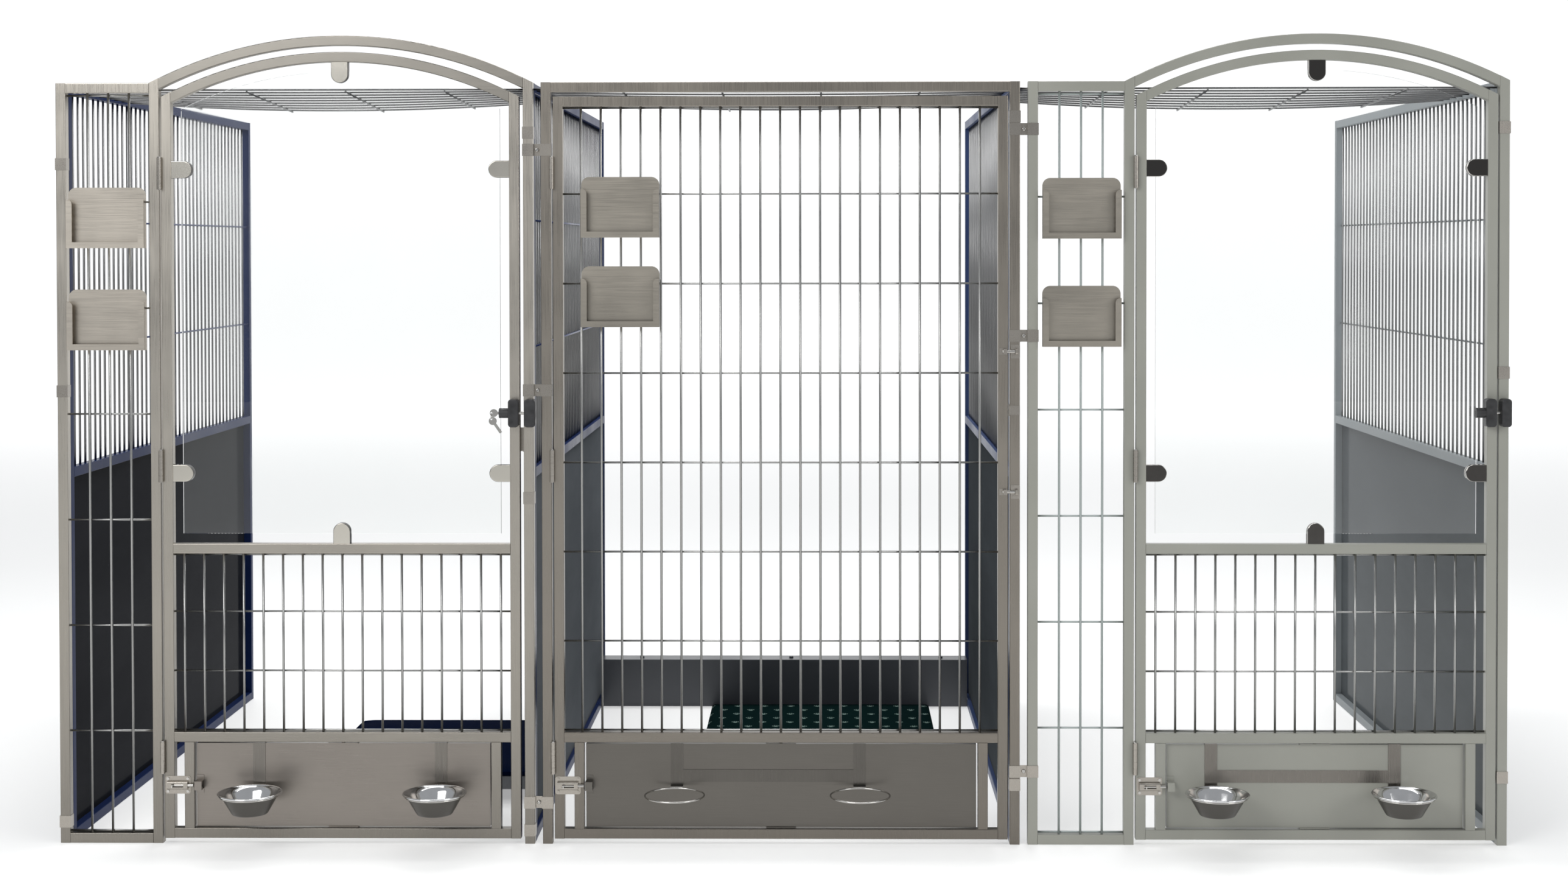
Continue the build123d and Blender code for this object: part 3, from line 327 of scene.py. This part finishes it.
def islands(mesh):
    """For each polygon, the number of its connected piece."""
    parent = list(range(len(mesh.vertices)))

    def root(i):
        while parent[i] != i:
            parent[i] = parent[parent[i]]
            i = parent[i]
        return i

    first = {}
    for vertex in mesh.vertices:
        key = tuple(round(c, 6) for c in vertex.co)
        other = first.setdefault(key, vertex.index)
        parent[root(vertex.index)] = root(other)
    for polygon in mesh.polygons:
        a = root(polygon.vertices[0])
        for i in polygon.vertices[1:]:
            parent[root(i)] = a
    return [root(polygon.vertices[0]) for polygon in mesh.polygons]


def dress_pieces(name, mats, choose):
    """A material for each separate solid of a node, chosen from the solid's own box."""
    obj = nodes[name]
    mesh = obj.data
    mesh.materials.clear()
    for mat in mats:
        mesh.materials.append(mat)
    owner = islands(mesh)
    boxes = {}
    for polygon, piece in zip(mesh.polygons, owner):
        low, high = boxes.setdefault(piece, ([9.0] * 3, [-9.0] * 3))
        for i in polygon.vertices:
            for axis, value in enumerate(mesh.vertices[i].co):
                low[axis] = min(low[axis], value)
                high[axis] = max(high[axis], value)
    chosen = {piece: choose(low, high) for piece, (low, high) in boxes.items()}
    for polygon, piece in zip(mesh.polygons, owner):
        polygon.material_index = chosen[piece]


def dress_faces(name, mats, choose):
    """A material for each face of a node, chosen from the face's middle."""
    mesh = nodes[name].data
    mesh.materials.clear()
    for mat in mats:
        mesh.materials.append(mat)
    for polygon in mesh.polygons:
        polygon.material_index = choose(polygon.center)


def ring_or_strap(middle):
    """1 on a bowl ring, which stands forward of its flat strap."""
    return int(middle.y < FRONT - 0.004)


def screw_or_plate(middle):
    """1 on the screw heads above and below a barrel bolt's raised channel."""
    aside = abs(middle.z - BOLT_HEIGHT) > PLATE_HALF
    return int(aside and middle.y < FRONT - 0.0018)


def clamp_face(middle):
    """1 on the flat front of a glass clamp, 0 on its rounded rim and back."""
    return int(middle.y < CLAMP_FRONT)


def longest(low, high):
    """The axis that a tube runs along."""
    sizes = [b - a for a, b in zip(low, high)]
    return sizes.index(max(sizes))


def wall_number(low, high):
    """0 to 3, from the left wall to the right one."""
    middle = (low[0] + high[0]) / 2
    return min(3, max(0, int((middle + 2 * WALL_STEP) // WALL_STEP)))


def card_bay(low, high):
    """0 in bay A, 1 in bay C."""
    return int(low[0] > 0)


for name in ("frame_a", "door_a_frame"):
    dress_pieces(name, STAINLESS, longest)
for name in ("frame_b", "door_b_frame"):
    dress_pieces(name, SHADED_STAINLESS, longest)
dress(ARCH_STEEL, "frame_a_arch", "door_a_arch")
dress(GREY_GREEN, "frame_c", "frame_c_arch", "door_c_frame", "door_c_arch")
dress_pieces("wall_frames", [NAVY, NAVY, STEEL_BLUE, LIGHT_GREY], wall_number)
dress_pieces("wall_panels", [PANEL_NAVY, PANEL_GREY, PANEL_SLATE, PANEL_PALE], wall_number)
for name in ("feeder_a_bolt_housing", "feeder_c_bolt_housing"):
    dress_faces(name, [FITTING, CHROME], screw_or_plate)
dress_pieces("side_card_holders", [LIT_CARD, CARD], card_bay)
dress(CARD, "door_b_card_holders")
dress(FITTING, "frame_clips", "hinge_post_leaves",
      "door_a_hinge_leaves", "door_b_hinge_leaves", "door_c_hinge_leaves",
      "stops_and_latch_keepers", "door_b_latch_plates")
dress(FEEDER_STEEL, "feeder_a_panel")
dress(SHADED_FEEDER, "feeder_b_panel")
dress(GREY_GREEN, "feeder_c_panel")
# Painted reflection: the clamps' near-black faces stand for dark surroundings mirrored in them.
dress_faces("door_a_clamps", [CLAMP_DARK_REFLECTION, CLAMP_PALE], clamp_face)
dress_faces("door_c_clamps", [CHROME, CLAMP_DARK_REFLECTION], clamp_face)
dress(CHROME, "clip_bolts", "hinge_pins", "lock_a_bolt",
      "lock_c_bolt", "latch_b_upper_rod", "latch_b_lower_rod", "feeder_a_bolt",
      "feeder_b_bolt", "feeder_c_bolt", "lock_a_keys")
for bay in "abc":
    strap = SHADED_STRAP if bay == "b" else STRAP
    dress_faces(f"feeder_{bay}_bowl_racks", [strap, CHROME], ring_or_strap)
dress(GLASS, "door_a_glass", "door_c_glass")
dress(LOCK_BLACK, "lock_a_body", "lock_c_body", "lock_keepers")
dress(KICK, "kick_panel")
dress(BED_COAT, "bed_frame")


# ------------------------------------------------------------------ round bars and wires
def add_piece(name, mesh, mat, body, slot, *replaced):
    """Puts a finished mesh in the scene, riding on its body."""
    if mat is not None:
        mesh.materials.append(mat)
    obj = bpy.data.objects.new(name, mesh)
    collection.objects.link(obj)
    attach(obj, body)
    if replaced:
        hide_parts(*replaced)
    return obj


def rod_mesh(name, runs, radius, sides=ROUND):
    """Round bars along runs of points, with flat capped ends, in one smooth mesh."""
    verts, faces = [], []
    for run in runs:
        points = [Vector(p) for p in run]
        first = len(verts)
        rings = []
        for i, point in enumerate(points):
            ahead = points[min(i + 1, len(points) - 1)] - points[max(i - 1, 0)]
            ahead.normalize()
            side = ahead.orthogonal() if abs(ahead.z) > 0.9 else ahead.cross(Vector((0, 0, 1)))
            side.normalize()
            over = ahead.cross(side)
            rings.append([point + (side * math.cos(a) + over * math.sin(a)) * radius
                          for a in (2 * math.pi * k / sides for k in range(sides))])
        for ring in rings:
            verts.extend(ring)
        for i in range(len(rings) - 1):
            for k in range(sides):
                a = first + i * sides + k
                b = first + i * sides + (k + 1) % sides
                faces.append((a, a + sides, b + sides, b))
        last = first + (len(rings) - 1) * sides
        faces.append(tuple(first + k for k in range(sides)))
        faces.append(tuple(last + k for k in reversed(range(sides))))
    mesh = bpy.data.meshes.new(name)
    mesh.from_pydata(verts, [], faces)
    mesh.validate()
    mesh.shade_smooth()
    return mesh


def spread(middle, count, pitch):
    return [middle + (i - (count - 1) / 2) * pitch for i in range(count)]


def weld_spots(name, crossings, radius):
    """Small squashed beads where a wire is resistance-welded to a bar."""
    ring = 8
    levels = ((0.0, 1.0), (0.62, 0.72))
    verts, faces = [], []
    for x, y, z in crossings:
        for side in (-1, 1):
            first = len(verts)
            for up, out in levels:
                for k in range(ring):
                    angle = 2 * math.pi * k / ring
                    verts.append((x + math.cos(angle) * out * radius, y + side * up * radius,
                                  z + math.sin(angle) * out * radius))
            verts.append((x, y + side * radius * 0.8, z))
            for k in range(ring):
                after = (k + 1) % ring
                quad = (first + k, first + after, first + ring + after, first + ring + k)
                cap = (first + ring + k, first + ring + after, first + 2 * ring)
                faces.append(quad if side < 0 else quad[::-1])
                faces.append(cap if side < 0 else cap[::-1])
    mesh = bpy.data.meshes.new(name)
    mesh.from_pydata(verts, [], faces)
    mesh.shade_smooth()
    return mesh


def front_grille(name, middle, columns, pitch, body, heights, x0, x1, z0, z1, replaced):
    """Upright bars with cross wires behind, and a weld spot at every crossing."""
    paint = PALE_WIRE if name == "side_grille_c" else BRIGHT_WIRE
    bar_y = FRONT + 0.010
    wire_y = bar_y + BAR_R + WIRE_R - WELD
    xs = spread(middle, columns, pitch)
    bars = [((x, bar_y, z0), (x, bar_y, z1)) for x in xs]
    wires = [((x0, wire_y, z), (x1, wire_y, z)) for z in heights]
    names = [replaced] if replaced else []
    add_piece(f"{name}_bars", rod_mesh(f"{name}_bars", bars, BAR_R), paint, body,
              "bright_wire", *names)
    add_piece(f"{name}_wires", rod_mesh(f"{name}_wires", wires, WIRE_R), paint, body,
              "bright_wire")
    crossings = [(x, bar_y + BAR_R, z) for x in xs for z in heights]
    add_piece(f"{name}_welds", weld_spots(f"{name}_welds", crossings, 0.0024), paint, body,
              "bright_wire")


def door_grilles():
    low = 0.281
    arched = (low + 0.0035, 0.4345, 0.5845, 0.7285)
    square = [low + 0.0045 + 0.225 * i for i in range(7)]
    for bay, columns, heights in (("a", 17, arched), ("c", 17, arched), ("b", 21, square)):
        corner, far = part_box(f"door_{bay}_grille")
        top = [far.z - 0.003] if bay == "b" else []
        front_grille(f"door_{bay}_grille", (corner.x + far.x) / 2, columns, BAR_PITCH,
                     f"door_{bay}", [*heights, *top], corner.x, far.x, corner.z, far.z,
                     f"door_{bay}_grille")


def side_grilles():
    """The narrow fixed grilles beside doors A and C."""
    low, high, step = 0.029, 1.884, 0.267
    corner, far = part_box("side_grilles")
    for bay, x0, width, lift, replaced in (
            ("a", corner.x, 0.210, 0.0, "side_grilles"),
            ("c", far.x - 0.216, 0.216, 0.010, None)):
        heights = [low, *(high - step * i + lift for i in range(1, 7)), high]
        front_grille(f"side_grille_{bay}", x0 + width / 2, 3, width / 4, "kennel", heights,
                     x0, x0 + width, corner.z, far.z, replaced)


def side_walls():
    """Bars of the upper half of each wall, with two long painted wires."""
    frames_low, frames_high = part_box("wall_frames")
    low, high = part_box("wall_bars")
    pitch = (high.y - low.y) / 43
    ys = spread((low.y + high.y) / 2, 42, pitch)
    middles = (frames_low.x + TUBE / 2, *INNER_WALLS, frames_high.x - TUBE / 2)
    wire_paint = (NAVY_WIRE, NAVY_WIRE, GREY_WIRE, GREY_WIRE)
    for i, (x, paint) in enumerate(zip(middles, wire_paint), 1):
        bars = [((x, y, low.z), (x, y, high.z)) for y in ys]
        add_piece(f"wall_{i}_bars", rod_mesh(f"wall_{i}_bars", bars, BAR_R), WALL_WIRE,
                  "kennel", "bright_wire", *(["wall_bars"] if i == 1 else []))
        wire_x = x + BAR_R + WIRE_R - WELD
        wires = [((wire_x, low.y, z), (wire_x, high.y, z)) for z in (1.250, 1.570)]
        add_piece(f"wall_{i}_wires", rod_mesh(f"wall_{i}_wires", wires, WIRE_R), paint,
                  "kennel", "bright_wire")


def roof_mesh():
    """Long wires that sag more towards the back, on straight cross wires."""
    low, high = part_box("roof_mesh")
    top, sag, count, end = high.z - WIRE_R, 0.022, 9, 1.795
    left, right = INNER_WALLS
    edges = ((-end, left - TUBE / 2), (left + TUBE / 2, right - TUBE / 2), (right + TUBE / 2, end))
    front, back = low.y + 0.001, high.y - 0.001
    long_runs, cross_runs = [], []
    for x0, x1 in edges:
        middle, half = (x0 + x1) / 2, (x1 - x0) / 2

        def drop(x):
            return sag * (1 - ((x - middle) / half) ** 2)

        steps = [x0 + (x1 - x0) * i / 24 for i in range(25)]
        for i in range(count):
            y = front + (back - front) * i / (count - 1)
            long_runs.append([(x, y, top - drop(x) * i / (count - 1)) for x in steps])
        cross_runs += [[(x, front, top - 2 * WIRE_R), (x, back, top - drop(x) - 2 * WIRE_R)]
                       for x in spread(middle, 4, 0.25)]
    add_piece("roof_long_wires", rod_mesh("roof_long_wires", long_runs, WIRE_R), SHADED_ROOF_WIRE,
              "kennel", "bright_wire", "roof_mesh")
    add_piece("roof_cross_wires", rod_mesh("roof_cross_wires", cross_runs, WIRE_R), SHADED_ROOF_WIRE,
              "kennel", "bright_wire")


# ------------------------------------------------------------------ bowls and racks
def lathe(name, profile, place, sides=72):
    """A closed profile of (radius, height) points turned about an upright axis."""
    verts, faces = [], []
    for k in range(sides):
        angle = 2 * math.pi * k / sides
        for radius, height in profile:
            verts.append((place[0] + radius * math.cos(angle), place[1] + radius * math.sin(angle),
                          place[2] + height))
    count = len(profile)
    for k in range(sides):
        a, b = k * count, ((k + 1) % sides) * count
        for i in range(count):
            j = (i + 1) % count
            faces.append((a + i, b + i, b + j, a + j))
    mesh = bpy.data.meshes.new(name)
    mesh.from_pydata(verts, [], faces)
    edit = bmesh.new()
    edit.from_mesh(mesh)
    bmesh.ops.remove_doubles(edit, verts=edit.verts, dist=1e-6)
    bmesh.ops.recalc_face_normals(edit, faces=edit.faces)
    edit.to_mesh(mesh)
    edit.free()
    mesh.shade_smooth()
    return mesh


def bowl_profile():
    """Spun bowl: dished base, flared wall and a rolled rim."""
    wall = 0.0010
    outer = [(0.0, 0.0012), (0.030, 0.0008), (0.0400, 0.0), (0.0432, 0.0006), (0.0452, 0.0028)]
    outer += [(0.0452 + 0.0265 * t, 0.0028 + 0.0467 * t) for t in (0.25, 0.5, 0.75, 1.0)]
    roll = [(0.0769 + 0.0026 * math.cos(a), 0.0514 + 0.0026 * math.sin(a))
            for a in (math.pi * (-0.75 + 0.25 * k) for k in range(8))]
    inner = [(r - wall, z + wall) for r, z in reversed(outer[2:])]
    return [*outer, *roll, *inner, (0.030, 0.0020), (0.0, 0.0022)]


def shaded_satin_outside(mesh, middle):
    """The second material, a satin finish painted near black as shade, on the faces under the rim
    of a turned bowl.
    """
    mesh.materials.append(BOWL_STEEL)
    mesh.materials.append(BOWL_SATIN_SHADED)
    for polygon in mesh.polygons:
        out = Vector((polygon.center.x - middle[0], polygon.center.y - middle[1], 0.0))
        faces_out = polygon.normal.dot(out.normalized()) > 0.15 or polygon.normal.z < -0.5
        polygon.material_index = int(faces_out and polygon.center.z < middle[2] + 0.0485)


def bowls():
    for bay in "ac":
        for side in ("left", "right"):
            name = f"bowl_{bay}_{side}"
            low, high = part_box(name)
            place = ((low.x + high.x) / 2, (low.y + high.y) / 2, low.z)
            mesh = lathe(f"{name}_spun", bowl_profile(), place)
            shaded_satin_outside(mesh, place)
            add_piece(f"{name}_spun", mesh, None, name, "polished_fittings", name)


# ------------------------------------------------------------------ bed and mat
def mattress():
    """Flat vinyl pad: crowned top, pulled-in sides, piped seam and soft creases."""
    low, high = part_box("bed_mattress")
    across, along, up = 56, 58, 6
    half_x, half_y = (high.x - low.x) / 2, (high.y - low.y) / 2
    mid_x, mid_y = (low.x + high.x) / 2, (low.y + high.y) / 2
    thick = high.z - low.z
    random.seed(7)
    waves = [(random.uniform(-9, 9), random.uniform(-9, 9), random.uniform(0, 6.28))
             for _ in range(7)]

    def surface(u, v, level):
        """A point of the pad, from u, v in -1..1 and level 0 (bottom) to 1 (top)."""
        pull = 1.0 - 0.012 * (abs(u * v) < 0.9) * (1 - abs(u) ** 8 * abs(v) ** 8)
        belly = 1.0 - 0.006 * abs(2 * level - 1) ** 2
        corner = 1.0 - 0.010 * (abs(u) * abs(v)) ** 10
        x = mid_x + u * half_x * belly * corner * pull
        y = mid_y + v * half_y * belly * corner * pull
        inside = (1 - abs(u) ** 10) * (1 - abs(v) ** 10)
        ripple = sum(math.sin(a * u + b * v + c) for a, b, c in waves) / len(waves)
        edge = min(1.0, 6.0 * min(1 - abs(u), 1 - abs(v)))
        lift = (0.0010 * ripple * edge - 0.0035 * (1 - inside)) * (level > 0.5)
        return x, y, low.z + thick * level + lift

    edit = bmesh.new()
    grid = {}
    for i in range(across + 1):
        for j in range(along + 1):
            for k in (0, up):
                u, v = 2 * i / across - 1, 2 * j / along - 1
                grid[i, j, k] = edit.verts.new(surface(u, v, k / up))
    rim = [(i, 0) for i in range(across)] + [(across, j) for j in range(along)]
    rim += [(i, along) for i in range(across, 0, -1)] + [(0, j) for j in range(along, 0, -1)]
    for i, j in rim:
        for k in range(1, up):
            u, v = 2 * i / across - 1, 2 * j / along - 1
            grid[i, j, k] = edit.verts.new(surface(u, v, k / up))
    for i in range(across):
        for j in range(along):
            for k in (0, up):
                quad = [grid[i, j, k], grid[i + 1, j, k], grid[i + 1, j + 1, k], grid[i, j + 1, k]]
                edit.faces.new(quad if k else quad[::-1])
    for n, (i, j) in enumerate(rim):
        a, b = rim[(n + 1) % len(rim)]
        for k in range(up):
            edit.faces.new((grid[i, j, k], grid[a, b, k], grid[a, b, k + 1], grid[i, j, k + 1]))
    mesh = bpy.data.meshes.new("bed_mattress_pad")
    edit.to_mesh(mesh)
    edit.free()
    mesh.shade_smooth()
    pad = add_piece("bed_mattress_pad", mesh, BED_VINYL, "kennel", "navy_vinyl", "bed_mattress")
    seam_z = low.z + 0.76 * thick
    route = []
    for n in range(121):
        angle = 2 * math.pi * n / 120
        c, s = math.cos(angle), math.sin(angle)
        reach = (abs(c) ** 24 + abs(s) ** 24) ** (-1 / 24)
        route.append((mid_x + c * reach * (half_x - 0.0035), mid_y + s * reach * (half_y - 0.0035),
                      seam_z))
    piping = add_piece("bed_mattress_piping", rod_mesh("bed_mattress_piping", [route], 0.0022, 8),
                       BED_VINYL, "kennel", "navy_vinyl")
    return pad, piping


def paw_pattern(paint):
    """Staggered pale paw prints: a pad with four toes, over and over. 1 on a print, else 0."""
    cell_x, cell_y = 0.086, 0.122
    row = paint.math("FLOOR", paint.math("DIVIDE", paint.along("Y"), cell_y / 2))
    shift = paint.math("MULTIPLY", paint.math("MODULO", paint.math("ABSOLUTE", row), 2.0), 0.5)
    wave = paint.math("ADD", paint.math("DIVIDE", paint.along("X"), cell_x), shift)
    x = paint.math("MULTIPLY", paint.math("SUBTRACT", paint.math("FRACT", wave), 0.5), cell_x)
    y = paint.math("DIVIDE", paint.along("Y"), cell_y / 2)
    y = paint.math("MULTIPLY", paint.math("SUBTRACT", paint.math("FRACT", y), 0.5), cell_y / 2)
    wobble = paint.math("MULTIPLY", paint.math("SUBTRACT", paint.noise(160.0, 2.0), 0.5), 0.006)
    shape = None
    pads = ((0.0, -0.005, 0.0066, 0.0050), (-0.0092, 0.0030, 0.0024, 0.0036),
            (-0.0033, 0.0080, 0.0024, 0.0038), (0.0033, 0.0080, 0.0024, 0.0038),
            (0.0092, 0.0030, 0.0024, 0.0036))
    for px, py, rx, ry in pads:
        dx = paint.math("DIVIDE", paint.math("SUBTRACT", x, px), rx)
        dy = paint.math("DIVIDE", paint.math("SUBTRACT", y, py), ry)
        square = paint.math("ADD", paint.math("MULTIPLY", dx, dx), paint.math("MULTIPLY", dy, dy))
        near = paint.math("SUBTRACT", paint.math("SQRT", square), 1.0)
        shape = near if shape is None else paint.math("MINIMUM", shape, near)
    ragged = paint.math("ADD", shape, paint.math("MULTIPLY", wobble, 60.0))
    return paint.math("LESS_THAN", ragged, 0.0)


def fleece(name, ground, print_colour):
    """Dense pile with printed paws, darker between its tufts."""
    paint = Paint(name, ground, 0.92, 0.0, Sheen_Weight=0.01, Sheen_Roughness=0.6,
                  Specular_IOR_Level=0.0)
    pile = paint.noise(900.0, 3.0, (1, 1, 1), 0.7)
    tufts = paint.noise(140.0, 3.0)
    printed = paint.mix(paw_pattern(paint), ground, print_colour)
    shaded = paint.mix(paint.ramp(pile, 0.0, 0.55, 0.35, 0.6), printed, (0.0, 0.0, 0.0), "MULTIPLY")
    paint.plug(paint.mix(paint.ramp(pile, 0.0, 0.45, 0.55, 0.35), printed, shaded), "Base Color")
    paint.plug(paint.ramp(tufts, 0.82, 0.98), "Roughness")
    coarse = paint.bump(tufts, 0.5, 0.004)
    paint.bump(pile, 0.8, 0.002, coarse)
    return paint.mat


def floor_mat():
    """Fleece mat with a soft rounded edge and a pile that isn't quite level."""
    low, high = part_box("floor_mat")
    across, along = 70, 100
    random.seed(11)
    lumps = [(random.uniform(4, 30), random.uniform(4, 30), random.uniform(0, 6.28))
             for _ in range(10)]
    edit = bmesh.new()
    rows = []
    for j in range(along + 1):
        row = []
        for i in range(across + 1):
            u, v = i / across, j / along
            edge = min(u * (high.x - low.x), (1 - u) * (high.x - low.x),
                       v * (high.y - low.y), (1 - v) * (high.y - low.y))
            round_off = math.sqrt(max(0.0, 1 - (1 - min(1.0, edge / 0.009)) ** 2))
            swell = sum(math.sin(a * u + b * v + c) for a, b, c in lumps) / len(lumps)
            tuft = random.uniform(-0.0004, 0.0004)
            height = 0.0022 + (0.0066 + 0.0008 * swell + tuft) * round_off
            row.append(edit.verts.new((low.x + u * (high.x - low.x), low.y + v * (high.y - low.y),
                                       low.z + height)))
        rows.append(row)
    for j in range(along):
        for i in range(across):
            edit.faces.new((rows[j][i], rows[j][i + 1], rows[j + 1][i + 1], rows[j + 1][i]))
    rim = rows[0] + [r[-1] for r in rows[1:]] + rows[-1][-2::-1] + [r[0] for r in rows[-2:0:-1]]
    base = [edit.verts.new((v.co.x, v.co.y, low.z + 0.0002)) for v in rim]
    for n in range(len(rim)):
        after = (n + 1) % len(rim)
        edit.faces.new((rim[after], rim[n], base[n], base[after]))
    edit.faces.new(base[::-1])
    bmesh.ops.recalc_face_normals(edit, faces=edit.faces)
    mesh = bpy.data.meshes.new("floor_mat_fleece")
    edit.to_mesh(mesh)
    edit.free()
    mesh.shade_smooth()
    mat = add_piece("floor_mat_fleece", mesh, FLEECE, "kennel", "mat_rubber", "floor_mat")


FLEECE = fleece("mat_fleece", (0.002, 0.012, 0.012), (0.21, 0.30, 0.27))

door_grilles()
side_grilles()
side_walls()
roof_mesh()
bowls()
mattress()
floor_mat()


# ------------------------------------------------------------------ studio
def studio():
    """Pale floor that rises into a backdrop, soft lights and an even sky."""
    mesh = bpy.data.meshes.new("studio_floor")
    near, far, bend, tall, half = FRONT - 16.0, FRONT + 17.0, 2.5, 7.0, 20.0
    profile = [(near, 0.0), (far - bend, 0.0)]
    for i in range(1, 13):
        angle = math.pi / 2 * i / 12
        profile.append((far - bend + bend * math.sin(angle), bend - bend * math.cos(angle)))
    profile.append((far, tall))
    verts = [(x, y, z) for y, z in profile for x in (-half, half)]
    faces = [(2 * i, 2 * i + 1, 2 * i + 3, 2 * i + 2) for i in range(len(profile) - 1)]
    mesh.from_pydata(verts, [], faces)
    mesh.shade_smooth()
    paint = Paint("studio_floor", (0.72, 0.72, 0.71), 0.55)
    paint.set("Emission Color", (1.0, 1.0, 1.0, 1.0))
    depth = paint.math("DIVIDE", paint.along("Y"), far)
    glow = paint.ramp(depth, 0.36, 0.60, 0.25, 0.85)
    paint.plug(glow, "Emission Strength")
    mottle = paint.noise(1.3, 4.0)
    paint.plug(paint.mix(mottle, (0.73, 0.73, 0.72), (0.76, 0.76, 0.75)), "Base Color")
    mesh.materials.append(paint.mat)
    floor = bpy.data.objects.new("studio_floor", mesh)
    collection.objects.link(floor)

    world = bpy.data.worlds.new("studio_sky")
    world.use_nodes = True
    sky = world.node_tree.nodes["Background"]
    sky.inputs["Color"].default_value = (0.88, 0.91, 0.95, 1.0)
    sky.inputs["Strength"].default_value = 0.45
    bpy.context.scene.world = world
    bpy.context.scene.view_settings.view_transform = "Standard"

    lamps = (
        ("key", (-3.2, FRONT - 4.2, 3.9), (-0.3, FRONT + 0.4, 0.9), (3.2, 2.4), 150.0),
        ("fill", (5.5, FRONT - 4.4, 3.0), (0.4, FRONT + 0.4, 0.9), (2.6, 2.6), 100.0),
        ("ceiling_front", (0.0, FRONT + 0.2, 4.3), (0.0, FRONT + 0.4, 0.0), (4.4, 1.0), 60.0),
        ("ceiling_back", (0.0, FRONT + 2.6, 4.3), (0.0, FRONT + 1.8, 0.0), (4.4, 1.2), 110.0),
    )
    for name, place, target, size, power in lamps:
        lamp = bpy.data.lights.new(name, "AREA")
        lamp.shape = "RECTANGLE"
        lamp.size, lamp.size_y = size
        lamp.energy = power
        obj = bpy.data.objects.new(name, lamp)
        obj.location = place
        aim = Vector(target) - Vector(place)
        obj.rotation_euler = aim.to_track_quat("-Z", "Y").to_euler()
        collection.objects.link(obj)


def camera():
    """Eye-level view, slightly right of the middle, with a small lens shift."""
    data = bpy.data.cameras.new("camera")
    data.lens = 51.0
    data.sensor_width = 36.0
    data.shift_x = -0.0097
    data.shift_y = -0.0969
    obj = bpy.data.objects.new("camera", data)
    collection.objects.link(obj)
    yaw, pitch, roll = 0.0117, 0.0183, -0.0012
    right = Vector((math.cos(yaw), math.sin(yaw), 0.0))
    level = Vector((-math.sin(yaw), math.cos(yaw), 0.0))
    up = Vector((0.0, 0.0, 1.0))
    ahead = level * math.cos(pitch) - up * math.sin(pitch)
    over = up * math.cos(pitch) + level * math.sin(pitch)
    side = right * math.cos(roll) + over * math.sin(roll)
    over = over * math.cos(roll) - right * math.sin(roll)
    turn = Matrix((side, over, -ahead)).transposed().to_4x4()
    turn.translation = Vector((0.1126, FRONT - 5.5626, 1.5011))
    obj.matrix_world = turn
    bpy.context.scene.camera = obj


studio()
camera()
